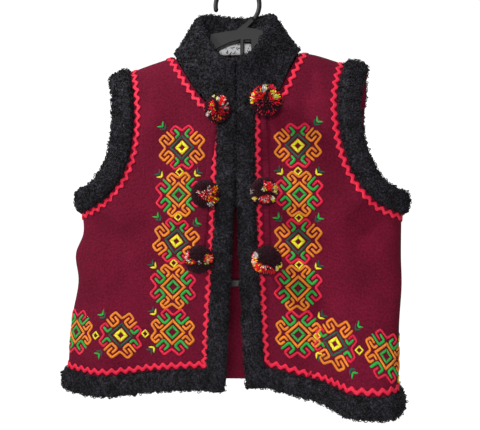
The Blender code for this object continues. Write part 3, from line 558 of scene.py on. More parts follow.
def tube_mesh(name, rings, material, closed=False, **extras):
    """A closed tube through rings of points, round a loop or with fan-capped ends."""
    count, size = rings.shape[:2]
    points = rings.reshape(-1, 3)
    quads = grid_faces(count, size, closed, True)
    first = np.arange(size)
    caps = () if closed else (np.stack([first, first[::-1] + (count - 1) * size]),)
    return new_piece(name, points, quads, material, caps, turned=inside_out(quads, points),
                     **extras)


def tube_piece(name, rings, material, slot, **extras):
    """A tube that belongs to the vest."""
    return finished(tube_mesh(name, rings, material, **extras))


def finished(piece):
    """A piece that rides on the vest's one body."""
    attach(piece, "root")
    return piece


def three_sided(line, radius, first, second):
    """Thin threads: rings of three points round lines, at radius (cos k first + sin k second)."""
    return np.stack([line + radius * (math.cos(k) * first + math.sin(k) * second)
                     for k in np.radians([0, 120, 240])], axis=2)


# ---- materials ----
def node(tree, kind, *numbered, **named):
    """A node with its settings and inputs by name, and inputs that share a name by number.

    An input that is given a socket is linked to it.
    """
    made = tree.nodes.new(kind)
    for key, value in named.items():
        name = key.replace("_", " ").lower()
        match = [socket for socket in made.inputs if socket.name.lower() == name]
        if not match:
            setattr(made, key, value)
        else:
            feed(tree, match[0], value)
    for number, value in numbered:
        feed(tree, made.inputs[number], value)
    return made


def feed(tree, socket, value):
    """Link an input to a socket, or set it to a value."""
    if isinstance(value, bpy.types.NodeSocket):
        tree.links.new(value, socket)
    else:
        socket.default_value = value


def shader_group(name, inputs, outputs):
    """A new node group with named inputs (name and default) and outputs (name and kind).

    Returned with the sockets that bring its inputs and take its outputs.
    """
    group = bpy.data.node_groups.new(name, "ShaderNodeTree")
    group.interface.new_socket("Vector", in_out="INPUT", socket_type="NodeSocketVector")
    for label, default in inputs:
        kind = "NodeSocketFloat" if isinstance(default, float) else "NodeSocketColor"
        made = group.interface.new_socket(label, in_out="INPUT", socket_type=kind)
        made.default_value = default
    for label, kind in outputs:
        group.interface.new_socket(label, in_out="OUTPUT", socket_type=kind)
    given = group.nodes.new("NodeGroupInput").outputs
    return group, given, group.nodes.new("NodeGroupOutput").inputs


def make_fibre_group():
    """Uneven tone and nap: slow patches, fine flecks (painted highlights on the pile), and a bump
    height.
    """
    group, given, made = shader_group(
        "uneven_fibre",
        [("Dark", (0, 0, 0, 1)), ("Light", (1, 1, 1, 1)), ("Patch scale", 20.0),
         ("Fleck scale", 700.0), ("Fleck share", 0.5), ("Low", 0.0), ("High", 1.0)],
        [("Color", "NodeSocketColor"), ("Height", "NodeSocketFloat")])
    patches = node(group, "ShaderNodeTexNoise", Vector=given["Vector"],
                   Scale=given["Patch scale"], Detail=3.0, Roughness=0.55)
    flecks = node(group, "ShaderNodeTexNoise", Vector=given["Vector"],
                  Scale=given["Fleck scale"], Detail=2.0, Roughness=0.7)
    both = node(group, "ShaderNodeMix", (0, given["Fleck share"]), (2, patches.outputs["Fac"]),
                (3, flecks.outputs["Fac"]), data_type="FLOAT")
    spread = node(group, "ShaderNodeMapRange", Value=both.outputs[0], From_Min=given["Low"],
                  From_Max=given["High"])
    colour = node(group, "ShaderNodeMix", (0, spread.outputs["Result"]), (6, given["Dark"]),
                  (7, given["Light"]), data_type="RGBA")
    feed(group, made["Color"], colour.outputs[2])
    feed(group, made["Height"], flecks.outputs["Fac"])


def make_thread_group():
    """Threads side by side along U, each a rounded ridge, crossed by finer ones along V; Gap marks
    the grooves between them, which braid and satin darken as painted shade.
    """
    group, given, made = shader_group(
        "thread_rows", [("Along", 1400.0), ("Across", 0.0), ("Wander", 0.5)],
        [("Height", "NodeSocketFloat"), ("Gap", "NodeSocketFloat")])
    parts = node(group, "ShaderNodeSeparateXYZ", Vector=given["Vector"])
    wander = node(group, "ShaderNodeTexNoise", Vector=given["Vector"], Scale=160.0, Detail=2.0)
    shift = node(group, "ShaderNodeMath", (0, wander.outputs["Fac"]), (1, given["Wander"]),
                 operation="MULTIPLY")
    waves = []
    for axis, pace in (("X", "Along"), ("Y", "Across")):
        turn = node(group, "ShaderNodeMath", (0, parts.outputs[axis]), (1, given[pace]),
                    (2, shift.outputs[0]), operation="MULTIPLY_ADD")
        waves.append(node(group, "ShaderNodeMath", (0, turn.outputs[0]), operation="SINE"))
    both = node(group, "ShaderNodeMath", (0, waves[1].outputs[0]), (1, CROSS_THREAD_SHARE),
                (2, waves[0].outputs[0]), operation="MULTIPLY_ADD")
    gap = node(group, "ShaderNodeMapRange", Value=both.outputs[0], From_Min=-1.3, From_Max=0.2)
    feed(group, made["Height"], both.outputs[0])
    feed(group, made["Gap"], gap.outputs["Result"])


def rgba(colour, share):
    """A colour as four numbers, its light multiplied by a share."""
    return (colour[0] * share, colour[1] * share, colour[2] * share, 1.0)


# what the finer crossing threads, and a weave under a nap, add to the height
CROSS_THREAD_SHARE = 0.35
WEAVE_SHARE = 0.25
WHITE = (1.0, 1.0, 1.0)
# each finish: skin is roughness, sheen, its roughness and specular; shares are the dark and light
# ones of its colour; fibre is patch and fleck scale, fleck share, low and high; threads are along,
# across and wander; bump is strength and depth in millimetres
FINISHES = {
    # fine milled wool: a faint weave, soft flecks and a low nap
    "milled_wool": dict(
        colour="wool", skin=(0.9, 0.03, 0.4, 0.12), shares=(0.62, 1.4), bump=(0.35, 0.25),
        fibre=(22.0, 420.0, 0.7, 0.38, 0.66), threads=(6900.0, 6900.0, 9.0), relief="both"),
    # looped pile: near black, with pale flecks painted in as highlights where loops would catch the
    # light
    "looped_pile": dict(
        colour="pile", skin=(0.8, 0.03, 0.3, 0.2), shares=(0.15, 6.0), bump=(0.6, 0.5),
        fibre=(90.0, 480.0, 0.75, 0.46, 0.68)),
    # braided satin: slanting threads, with painted shade between them
    "zigzag_braid": dict(
        colour="braid", skin=(0.5, 0.04, 0.4, 0.3), shares=(0.55, 1.08), bump=(0.5, 0.25),
        threads=(5200.0, 5200.0, 1.0), relief="threads"),
    # satin stitch: close threads in the piece's own tints, with painted shade between them
    "satin_stitch": dict(
        skin=(0.45, 0.04, 0.35, 0.35), shares=(0.5, 1.0), bump=(0.5, 0.2),
        threads=(14000.0, 0.0, 3.0), relief="threads"),
    # cut wool yarn: the strand's own tint with fine flecks
    "cut_yarn": dict(
        skin=(0.85, 0.04, 0.4, 0.2), shares=(0.6, 1.3), bump=(0.4, 0.15),
        fibre=(200.0, 1500.0, 0.6, 0.0, 1.0)),
    # woven ribbon: fine crossed threads, a little uneven in tone
    "woven_label": dict(
        colour="label", skin=(0.6, 0.1, 0.4, 0.4), shares=(0.8, 1.1), bump=(0.5, 0.15),
        fibre=(90.0, 1600.0, 0.5, 0.0, 1.0), threads=(9000.0, 9000.0, 1.0), relief="threads"),
    # moulded plastic: a satin skin with a fine orange peel and duller, scuffed patches
    "moulded_plastic": dict(
        colour="plastic", skin=(0.42, 0.0, 0.4, 0.35), shares=(0.8, 1.35), bump=(0.15, 0.1),
        fibre=(45.0, 900.0, 0.25, 0.0, 1.0), scuff=(0.32, 0.58)),
    # pale matt floor with a barely uneven tone
    "pale_floor": dict(
        colour="floor", skin=(0.9, 0.0, 0.4, 0.2), shares=(0.97, 1.03), bump=(0.05, 1.0),
        fibre=(2.0, 60.0, 0.3, 0.0, 1.0)),
}


def make_finish(name, colours, *, skin, shares, bump, colour=None, fibre=None, threads=None,
                relief="fibre", scuff=None):
    """A material from its row of FINISHES.

    Fibre, or the gaps between threads, mixes the dark and light shares of its colour; without
    a colour of its own, they are multiplied by the piece's tint.  On the pile the fibre's pale
    flecks are painted highlights, and the darker gaps between threads are painted shade.  The
    ridges of the threads, the height of the fibre or a quarter of one with the other make the bump.
    """
    material = bpy.data.materials.new(name)
    material.use_nodes = True
    tree = material.node_tree
    shader = tree.nodes["Principled BSDF"]
    for label, value in zip(("Roughness", "Sheen Weight", "Sheen Roughness",
                             "Specular IOR Level"), skin):
        shader.inputs[label].default_value = value
    if threads:
        place = node(tree, "ShaderNodeUVMap", uv_map="UVMap").outputs["UV"]
    else:
        place = node(tree, "ShaderNodeTexCoord").outputs["Object"]
    dark, light = (rgba(getattr(colours, colour) if colour else WHITE, share)
                   for share in shares)
    if threads:
        along, across, wander = threads
        rows = node(tree, "ShaderNodeGroup", node_tree=bpy.data.node_groups["thread_rows"],
                    Vector=place, Along=along, Across=across, Wander=wander)
    if fibre:
        patch_scale, fleck_scale, fleck_share, low, high = fibre
        nap = node(tree, "ShaderNodeGroup", node_tree=bpy.data.node_groups["uneven_fibre"],
                   Vector=place, Dark=dark, Light=light, Patch_scale=patch_scale,
                   Fleck_scale=fleck_scale, Fleck_share=fleck_share, Low=low, High=high)
        shown = nap.outputs["Color"]
    else:
        # darker in the gaps between threads: painted shade
        shown = node(tree, "ShaderNodeMix", (0, rows.outputs["Gap"]), (6, dark), (7, light),
                     data_type="RGBA").outputs[2]
    if not colour:
        tint = node(tree, "ShaderNodeAttribute", attribute_name="tint").outputs["Color"]
        shown = node(tree, "ShaderNodeMix", (0, 1.0), (6, tint), (7, shown), data_type="RGBA",
                     blend_type="MULTIPLY").outputs[2]
    feed(tree, shader.inputs["Base Color"], shown)
    height = (rows if relief == "threads" else nap).outputs["Height"]
    if relief == "both":
        height = node(tree, "ShaderNodeMath", (0, rows.outputs["Height"]), (1, WEAVE_SHARE),
                      (2, height), operation="MULTIPLY_ADD").outputs[0]
    if scuff:
        dull = node(tree, "ShaderNodeMapRange", Value=height, To_Min=scuff[0], To_Max=scuff[1])
        feed(tree, shader.inputs["Roughness"], dull.outputs["Result"])
    strength, depth = bump
    bump = node(tree, "ShaderNodeBump", Strength=strength, Distance=depth * MM, Height=height)
    feed(tree, shader.inputs["Normal"], bump.outputs["Normal"])


# ---- wool panels ----
def stations(pieces):
    """Chart points along an edge: each piece gives a path, its count and how they crowd."""
    points = []
    for path, count, crowd in pieces:
        share = np.linspace(0, 1, count + 1)
        share = 1 - (1 - share) ** crowd if crowd >= 1 else share ** (1 / crowd)
        run = path_run(*path)
        here = np.stack([np.interp(share * run[-1], run, path[0]),
                         np.interp(share * run[-1], run, path[1])], axis=-1)
        points.append(here if not points else here[1:])
    return np.concatenate(points)


def patch(bottom, top, left, right):
    """Chart grid between four edges, each blended towards the edge opposite."""
    low = stations(bottom)[None]
    high = stations(top)[None]
    first = stations(left)[:, None]
    last = stations(right)[:, None]
    s = np.linspace(0, 1, low.shape[1])[None, :, None]
    t = np.linspace(0, 1, first.shape[0])[:, None, None]
    corners = ((1 - t) * ((1 - s) * low[:, :1] + s * low[:, -1:])
               + t * ((1 - s) * high[:, :1] + s * high[:, -1:]))
    return (1 - t) * low + t * high + (1 - s) * first + s * last - corners


def side_path(side, face):
    """Chart path up the side seam, from the hem to the underarm."""
    _, q_hem = hem_path(face, side)
    q_top = face * reach_of(shoulder_height(side) - UNDERARM_Z[side] * MM)
    q = np.linspace(float(q_hem), float(q_top), 60)
    return np.full_like(q, side), q


def straight(first, last):
    """A straight chart path between two chart positions."""
    return np.linspace(first[0], last[0], 30), np.linspace(first[1], last[1], 30)


def panel(name, face, grid, wall, material):
    """A cloth wall: the outer grid on the cloth, the inner one a wall's thickness inward."""
    a = np.clip(grid[..., 0], -1, 1)
    q = face * np.maximum(face * grid[..., 1], SHOULDER_GAP)
    outer, _, _, normal = cloth_frame(a, q)
    inner = outer - normal * wall
    rows, columns = a.shape
    count = rows * columns
    points = np.concatenate([outer.reshape(-1, 3), inner.reshape(-1, 3)])
    faces = grid_faces(rows, columns)
    index = np.arange(count).reshape(rows, columns)
    rim = np.concatenate([index[0, :-1], index[:-1, -1], index[-1, :0:-1], index[:0:-1, 0]])
    ahead = np.roll(rim, -1)
    rims = np.stack([rim, ahead, ahead + count, rim + count], axis=-1)
    quads = np.concatenate([faces, faces[:, ::-1] + count, rims])
    uv = np.tile(np.stack([a * QUARTER, q], axis=-1).reshape(-1, 2), (2, 1))
    piece = new_piece(name, points, quads, material, uv=uv, turned=inside_out(quads, points))
    return finished(piece)


# pattern cells along each edge of the panels; opposite edges of a panel have the same number
FRONT_HEM_CELLS = 16
FRONT_NECK_CELLS = 9
FRONT_EDGE_CELLS = 21
SHOULDER_CELLS = 7
SIDE_CELLS = 12
ARMHOLE_CELLS = 9
HALF_BACK_HEM_CELLS = 13
BACK_NECK_CELLS = 12


def seam_side(side, face, cells):
    """The side seam and the armhole above it, as one edge of a panel."""
    return [(side_path(side, face), SIDE_CELLS * cells, 1),
            (reverse(armhole_path(side, face)), ARMHOLE_CELLS * cells, 1.5)]


def front_grid(side, edge_table, first, last, cells):
    """Chart grid of one front, from its front edge to the side seam."""
    edge = front_edge_path(edge_table)
    neck = neck_path(first, last, 160)
    shoulder = straight((neck[0][-1], 0.0), tip_chart(side))
    return patch([(hem_run(1, edge[0][0], side), FRONT_HEM_CELLS * cells, 1.2)],
                 [(neck, FRONT_NECK_CELLS * cells, 1), (shoulder, SHOULDER_CELLS * cells, 1)],
                 [(edge, FRONT_EDGE_CELLS * cells, 1.15)],
                 seam_side(side, 1, cells))


def back_grid(cells):
    """Chart grid of the back, side to side and up to the shoulders and the neck."""
    neck = neck_path(LEFT_NECK_POINT, RIGHT_NECK_POINT, 200)
    half = np.linspace(0, 1, 90)
    return patch([(hem_path(-1, half - 1), HALF_BACK_HEM_CELLS * cells, 0.8),
                  (hem_path(-1, half), HALF_BACK_HEM_CELLS * cells, 1.25)],
                 [(straight(tip_chart(-1), (neck[0][0], 0.0)), SHOULDER_CELLS * cells, 1),
                  (neck, BACK_NECK_CELLS * cells, 1),
                  (straight((neck[0][-1], 0.0), tip_chart(1)), SHOULDER_CELLS * cells, 1)],
                 seam_side(-1, -1, cells), seam_side(1, -1, cells))


# ---- looped pile ----
def trimmed(path, start, end):
    """A chart path with a distance taken off each end."""
    a, q, length = even_path(path[0], path[1], 200)
    share = np.linspace(start / length, 1 - end / length, 200)
    keys = np.linspace(0, 1, 200)
    return np.interp(share, keys, a), np.interp(share, keys, q)


# the bodies' mesh cells and the run over which their ends sink, in millimetres
PILE_CELL = 1.7
END_EASE = 14
# the underside of a band's section: share of its width across, share of its height up
BAND_UNDERSIDE = ((0.75, -0.06), (0.5, -0.06), (0.25, -0.06))
# height and wavelength of the pile's lumps, in millimetres
LUMPS = ((0.55, 5.2), (0.3, 2.6))
# a loop's arc in degrees, its lean in radians, and its drift, lift and spread of size in radii
CURL_ARC = (-35, 215)
CURL_LEAN = 1.1
CURL_DRIFT = 0.6
CURL_LIFT = 0.1
CURL_SIZES = (0.7, 1.3)


def band_rings(path, width, height, side, closed, overhang, ease=(1, 1)):
    """Rings of a pile band: a flattened half oval across, carried along an edge.

    The height over the cloth is (1 - |2s - 1|^3)^(1/2.4) of the pile's, s running across.
    Towards its two ends the pile sinks to the given shares of its height, over 14 mm.  Five
    overhangs are those at equal steps from the start to the end.
    """
    length = path_run(*path)[-1]
    a, q, heading = path_with_sides(path, int(length / (PILE_CELL * MM)), closed)
    share = 0.5 - 0.5 * np.cos(np.linspace(0, math.pi, 15))
    rise = (1 - np.abs(2 * share - 1) ** 3) ** (1 / 2.4)
    run = np.linspace(0, length, len(a))
    tall = height * (ease[0] + (1 - ease[0]) * soft_step(run / (END_EASE * MM)))
    tall *= ease[1] + (1 - ease[1]) * soft_step((length - run) / (END_EASE * MM))
    hang = np.interp(run, np.linspace(0, length, 5), np.broadcast_to(overhang, 5))
    rings = []
    for s, h in (*zip(share, rise), *BAND_UNDERSIDE):
        reach = s * (width + hang) - hang
        points, _, _, normal = cloth_frame(*walk(a, q, heading * side, reach))
        rings.append(points + normal * (h * tall)[:, None])
    return np.stack(rings, axis=1), len(share)


def grid_normals(points, ring_rows):
    """Outward-or-inward unit normals of a grid of points, from its central differences."""
    if ring_rows:
        down = np.roll(points, -1, axis=0) - np.roll(points, 1, axis=0)
    else:
        down = np.gradient(points, axis=0)
    return unit(np.cross(down, np.gradient(points, axis=1)))


def crumbed(points, ring_rows, seed):
    """A pile's outer grid pushed in and out by uneven lumps, and its normals.

    The lumps are a sum of plane waves of about 5 mm and another of about 2.6 mm.
    """
    normal = grid_normals(points, ring_rows)
    middle = points.mean(axis=1, keepdims=True)
    if np.sum(normal * (points - middle)) < 0:
        normal = -normal
    lumps = sum(height * MM * ripple(points, pitch * MM, seed + number)
                for number, (height, pitch) in enumerate(LUMPS))
    return points + normal * lumps[..., None], normal


def scattered(points, normal, per_area, rng):
    """Random places on a grid, as many to a cell as its area asks, with normals and slopes."""
    edge_u = points[:-1, 1:] - points[:-1, :-1]
    edge_v = points[1:, :-1] - points[:-1, :-1]
    area = np.linalg.norm(np.cross(edge_u, edge_v), axis=-1).reshape(-1)
    count = int(area.sum() * per_area)
    cell = rng.choice(len(area), size=count, p=area / area.sum())
    i, j = np.unravel_index(cell, edge_u.shape[:2])
    s, t = rng.random((2, count, 1))
    place = points[i, j] + s * edge_u[i, j] + t * edge_v[i, j]
    return place, normal[i, j], unit(edge_u[i, j])


def curl_rings(place, normal, slope, radius, thread, rng):
    """Small loops of yarn standing in the pile.

    Each is an arc of 250 degrees in a plane that leans about the pile's normal, drifting
    sideways like a coil, with a three-sided thread carried along it.
    """
    count = len(place)
    spin = rng.uniform(0, 2 * math.pi, (count, 1))
    across = np.cross(normal, slope)
    u = np.cos(spin) * slope + np.sin(spin) * across
    v = np.cross(normal, u)
    lean = rng.uniform(-CURL_LEAN, CURL_LEAN, (count, 1))
    w = np.cos(lean) * normal + np.sin(lean) * v
    v = np.cross(u, w)
    size = (radius * rng.uniform(*CURL_SIZES, (count, 1)))[:, None]
    turn = np.radians(np.linspace(*CURL_ARC, 6))[None, :, None]
    ray = np.cos(turn) * u[:, None] + np.sin(turn) * w[:, None]
    drift = np.linspace(-CURL_DRIFT, CURL_DRIFT, 6)[None, :, None]
    drift = drift * rng.choice([-1, 1], (count, 1, 1))
    line = (place + CURL_LIFT * radius * normal)[:, None] + size * (ray + drift * v[:, None])
    return three_sided(line, thread, ray, v[:, None])


def strands_piece(name, rings, material, slot, **extras):
    """One mesh of many three-sided strands, given as count x rings x 3 x xyz."""
    count, length = rings.shape[:2]
    points = rings.reshape(-1, 3)
    one = grid_faces(length, 3, False, True)
    step = length * 3
    starts = np.arange(count)[:, None, None] * step
    quads = (starts + one).reshape(-1, 4)
    ends = (starts + [[0, 1, 2], [step - 1, step - 2, step - 3]]).reshape(-1, 3)
    sample = points[:step]
    turned = inside_out(one, sample - sample.mean(axis=0))
    return finished(new_piece(name, points, quads, material, (ends,), turned=turned, **extras))


def pile_piece(name, node_name, rings, top, closed, sizes, material, seed):
    """A pile piece: its lumpy body, which replaces the solid, and its yarn loops."""
    body = rings.copy()
    body[:, :top], normal = crumbed(rings[:, :top], closed, seed)
    base = tube_piece(name, body, material, "pile_black", closed=closed)
    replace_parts(base, node_name)
    rng = np.random.default_rng(seed + 50)
    place, out, slope = scattered(body[:, :top], normal, sizes.loops_per_cm2 * 1e4, rng)
    loops = curl_rings(place, out, slope, sizes.loop_radius, sizes.loop_yarn, rng)
    strands_piece(name + "_loops", loops, material, "pile_black")


# ---- collar ----
def collar_wall(t, up, out):
    """Points of the collar's wall.

    t counts the neck rows, up runs from 0 at the foot to 1 at the top and out is the share
    of half the wall's thickness, outward when it is positive.  The middle surface is a
    quadratic curve from the neckline, first in the cloth's plane and then up to the top line.
    """
    keys = np.arange(len(NECK))
    step = 0.02
    points, _, _, normal = cloth_frame(*neck_chart(t))
    along = unit(cloth(*neck_chart(t + step)) - cloth(*neck_chart(t - step)))
    inward = np.cross(along, normal)
    foot = points - normal * COLLAR_SINK + inward * COLLAR_FOOT_GAP
    top = np.stack([smooth_at(t, keys, NECK[:, k] * MM) for k in (3, 4, 5)], axis=-1)
    bend = foot + inward * COLLAR_LEAN * np.linalg.norm(top - foot, axis=1, keepdims=True)
    middle = foot * (1 - up) ** 2 + bend * 2 * up * (1 - up) + top * up ** 2
    rise = (bend - foot) * 2 * (1 - up) + (top - bend) * 2 * up
    course = np.gradient(foot, axis=0) * (1 - up) + np.gradient(top, axis=0) * up
    face = unit(np.cross(rise, course))
    return middle + face * out[..., None] * 0.5 * COLLAR_WALL


# the collar's profile in shares of its height, the outside's swell and the round rim, and the
# ends' thinning: the neck rows that it takes and the share that it starts from
COLLAR_OUTSIDE = (-0.11, 0.88)
COLLAR_INSIDE = (0.88, -0.02)
COLLAR_SWELL = 0.12
COLLAR_RIM = 0.1
COLLAR_END_ROWS = 0.2
COLLAR_END_SHARE = 0.14


def collar_rings():
    """Rings of the collar: up the outside, round the top edge and down the inside.

    Towards the two front ends the wall thins like the end of an oval, and the pile of the
    ends leans across the middle until it meets.
    """
    last = len(NECK) - 1
    t = np.linspace(0, last, 200)
    to_end = np.minimum(t, last - t) / COLLAR_END_ROWS
    thin = np.sqrt(1 - (1 - np.clip(to_end, COLLAR_END_SHARE, 1)) ** 2)
    outside = [(up, 1.0 + COLLAR_SWELL * math.sin(math.pi * up))
               for up in np.linspace(*COLLAR_OUTSIDE, 13)]
    over = [(1 - COLLAR_RIM + COLLAR_RIM * math.sin(k), math.cos(k))
            for k in np.linspace(0, math.pi, 9)]
    inside = [(up, -1.0) for up in np.linspace(*COLLAR_INSIDE, 13)]
    profile = outside + over + inside
    rings = np.stack([collar_wall(t, up, out * thin) for up, out in profile], axis=1)
    toward = np.where(2 * t < last, 1, -1) * np.sign(rings[-1, 0, 0] - rings[0, 0, 0])
    rings[:, :, 0] += (toward * COLLAR_MEET * (1 - np.clip(to_end, 0, 1)))[:, None]
    return rings, len(profile)


# ---- zigzag braid ----
def offset_path(path, distance, count=400):
    """A chart path a distance to the left of another, over the cloth."""
    a, q, side = path_with_sides(path, count)
    return walk(a, q, side, np.full(count, distance))


def turned_corner(first, second):
    """Two chart paths joined where they come nearest each other."""
    gap = np.linalg.norm(cloth(*first)[:, None] - cloth(*second)[None], axis=-1)
    i, j = np.unravel_index(gap.argmin(), gap.shape)
    return (np.concatenate([first[0][:i], second[0][j + 1:]]),
            np.concatenate([first[1][:i], second[1][j + 1:]]))


def edge_braid_path(sizes):
    """Closed chart path of the braid that runs beside the fronts, the neck and the hem."""
    half = 0.5 * BRAID_SPAN * MM + BRAID_GAP * MM
    left = front_edge_path(FRONT_EDGE_LEFT)
    right = reverse(front_edge_path(FRONT_EDGE_RIGHT))
    front_gap = sizes.front_band_width + half - BRAID_TUCK * MM
    hem_gap = HEM_BAND_WIDTH * MM + half
    path = offset_path(hem_run(1, -1, left[0][0]), hem_gap)
    for edge, gap in ((left, front_gap),
                      (neck_path(0, len(NECK) - 1, 400), half + NECK_BRAID_GAP * MM),
                      (right, front_gap),
                      (hem_run(1, right[0][-1], 1), hem_gap)):
        path = turned_corner(path, offset_path(edge, gap))
    a_back, q_back = hem_run(-1, 1, -1, 300)
    back = offset_path((2 - a_back, -q_back), hem_gap)
    a = np.concatenate([path[0], back[0][1:-1], [path[0][0] + 4]])
    return a, np.concatenate([path[1], back[1][1:-1], [path[1][0]]])


def armhole_braid_path(side, sizes):
    """Closed chart path of the braid beside an armhole's band."""
    a, q, heading = path_with_sides(armhole_loop(side), 400, True)
    gap = sizes.armhole_band_width + 0.5 * BRAID_SPAN * MM + BRAID_GAP * MM
    a, q = walk(a, q, -side * heading, np.full(len(a), gap))
    return np.append(a, 2 * side - a[0]), np.append(q, -q[0])


BRAID_STEPS = 12
# the braid's section: share of its width across, share of its thickness up
BRAID_SECTION = ((-0.5, 0.35), (-0.44, 0.8), (-0.2, 1.0), (0.2, 1.0), (0.44, 0.8), (0.5, 0.35),
                 (0.3, -0.2), (-0.3, -0.2))


def braid_piece(name, path, sizes, material):
    """A flat braid whose middle line swings from side to side, as sin(s) over each repeat.

    Its section is a flattened oval: eight points, thickest in the middle.
    """
    repeats = round(path_run(*path)[-1] / sizes.braid_repeat)
    a, q, heading = path_with_sides(path, repeats * BRAID_STEPS, True)
    s = 2 * math.pi * np.arange(len(a)) / BRAID_STEPS
    swing = 0.5 * (BRAID_SPAN * MM - sizes.braid_width) * np.sin(s)
    rings = []
    uv = []
    for edge, lift in BRAID_SECTION:
        reach = swing + edge * sizes.braid_width
        points, _, _, normal = cloth_frame(*walk(a, q, heading, reach, 2))
        rings.append(points + normal * lift * sizes.braid_thickness)
        uv.append(np.stack([s * sizes.braid_repeat / (2 * math.pi),
                            np.full(len(a), edge * sizes.braid_width)], axis=-1))
    return tube_piece(name, np.stack(rings, axis=1), material, "braid_red", closed=True,
                      uv=np.stack(uv, axis=1).reshape(-1, 2))


# ---- embroidery ----
# strokes of a motif's arms in millimetres, on axes that run up-right and up-left
SIDE_HOOK = ((16.8, -4.2), (24.6, -4.2), (24.6, -12.4), (13.5, -13.5))
SIDE_CURL = ((21, -8.5), (13.3, -8.5), (13.3, 0.3), (25.5, 0.3))
TOP_HOOK = ((16.8, 4.2), (23.2, 4.2), (23.2, 12.0), (13.5, 13.5))
TOP_CURL = ((21, 8.5), (13.3, 8.5), (13.3, 2.5))
SPRIG_PLACE = (-21.0, 23.0)
STROKE_WIDTH = 3.0
STITCH_SPACING = 1.1
MITRE_GAP = 0.12
MITRE_LIFT = 0.55
LEAF_LENGTH = 6.6
LEAF_WIDTH = 2.9
LEAF_POINTS = 7
LEAF_TAPER = 0.75
# how far out the nearer and the farther pair of leaves stand
LEAF_REACHES = (-2.6, 1.6)
# colours of each kind: top hook, top curl, side hook, side curl, sprig near, sprig far
MOTIF_THREADS = {
    "A": ("crimson", "leaf_green", "orange", "orange", "pine_green", "leaf_green"),
    "B": ("orange", "orange", "crimson", "leaf_green", "yellow", "pine_green"),
}
# the nested squares of each kind: half side, width, colour
MOTIF_SQUARES = {
    "A": ((9.2, 2.4, "pine_green"), (4.2, 3.5, "yellow")),
    "B": ((9.3, 3.0, "orange"), (4.7, 2.6, "leaf_green")),
}
# columns: side, kind, degrees turned outward, chart position, distance from the shoulder line,
# the sprigs that it has: both, or the one on the side (left -1, right +1)
MOTIFS = (
    (-1, "A", 0, -0.300, 128.5, -1), (-1, "B", 0, -0.318, 181, 0), (-1, "A", 0, -0.330, 233, 0),
    (-1, "B", 0, -0.342, 284, 0), (-1, "B", 90, -0.331, 336, 0), (-1, "A", 90, -0.616, 324, 0),
    (-1, "B", 90, -0.900, 302, 0),
    (1, "A", 0, 0.350, 125, 1), (1, "B", 0, 0.355, 179, 0), (1, "A", 0, 0.354, 231.5, 0),
    (1, "B", 0, 0.357, 283, 0), (1, "B", 90, 0.372, 333.5, 0), (1, "A", 98, 0.577, 328.5, 0),
    (1, "B", 94, 0.856, 319, 0),
)
# small squares between the motifs: side, chart position, distance from the shoulder line
SMALL_SQUARES = (
    (-1, -0.312, 155.5), (-1, -0.323, 206), (-1, -0.333, 257.5), (-1, -0.480, 330),
    (-1, -0.757, 313), (1, 0.348, 153.5), (1, 0.355, 205), (1, 0.360, 257), (1, 0.480, 330),
    (1, 0.704, 323),
)


def turned_axes(points):
    """Points on the slanting axes, given across and up."""
    s, t = np.asarray(points, dtype=float).T
    return np.stack([(s - t) / math.sqrt(2), (s + t) / math.sqrt(2)], axis=-1)


def eased_line(corners, easing=2.8, spacing=STITCH_SPACING):
    """A line through corners, rounded by averaging it with itself over a short way."""
    corners = np.asarray(corners, dtype=float)
    run = run_along(corners)
    step = 0.2
    s = np.arange(-easing, run[-1] + easing, step)
    inner = np.clip(s, 0, run[-1])
    line = np.stack([np.interp(inner, run, corners[:, k]) for k in (0, 1)], axis=-1)
    start = unit(corners[1] - corners[0])
    finish = unit(corners[-1] - corners[-2])
    line += np.minimum(s, 0)[:, None] * start + np.maximum(s - run[-1], 0)[:, None] * finish
    width = int(easing / step)
    kernel = np.ones(width) / width
    line = np.stack([np.convolve(np.convolve(line[:, k], kernel, "same"), kernel, "same")
                     for k in (0, 1)], axis=-1)
    line = line[width:-width]
    run = run_along(line)
    wanted = np.linspace(0, run[-1], max(4, int(run[-1] / spacing)))
    return np.stack([np.interp(wanted, run, line[:, k]) for k in (0, 1)], axis=-1)


THREAD_SHADING = 0.10
STITCH_UNEVEN = (0.93, 1.07)
# a stitched strip's section: share of its width across, share of its height up
ACROSS = np.array((-0.5, -0.3, 0.0, 0.3, 0.5, 0.0))
LIFT = np.array((0.05, 0.8, 1.0, 0.8, 0.05, -0.6))
SMALL_SQUARE = (2.9, 1.8, "yellow")
MOTIF_HALF_WIDTH = 0.11


def stroke(line, width, colour, rng, taper=0.6):
    """A padded strip of satin stitch along a line: places, lifts, threads' own UV, colour."""
    along = unit(np.gradient(line, axis=0))
    side = np.stack([-along[:, 1], along[:, 0]], axis=-1)
    share = np.linspace(0, 1, len(line))
    ease = 1 - (1 - taper) * np.exp(-np.minimum(share, 1 - share) * len(line))
    breadth = (width * ease * rng.uniform(*STITCH_UNEVEN, len(line)))[:, None]
    places = line[:, None] + side[:, None] * (ACROSS * breadth)[..., None]
    uv = np.stack(np.broadcast_arrays(run_along(line)[:, None], ACROSS * breadth), axis=-1)
    return places, LIFT * ease[:, None] ** 2, uv, colour


def square_strokes(half, width, colour):
    """The four mitred sides of a square stood on its corner."""
    strips = []
    count = max(4, int(2 * half / STITCH_SPACING))
    for turn in range(4):
        reach = half + ACROSS * width - MITRE_GAP
        u = np.linspace(-1, 1, count)[:, None] * reach
        v = np.broadcast_to(half + ACROSS * width, u.shape)
        angle = math.pi / 2 * turn
        s = u * math.cos(angle) - v * math.sin(angle)
        t = u * math.sin(angle) + v * math.cos(angle)
        places = turned_axes(np.stack([s, t], axis=-1).reshape(-1, 2)).reshape(count, 6, 2)
        ease = np.ones((count, 1))
        ease[[0, -1]] = MITRE_LIFT
        strips.append((places, LIFT * ease, np.stack([u, v], axis=-1), colour))
    return strips


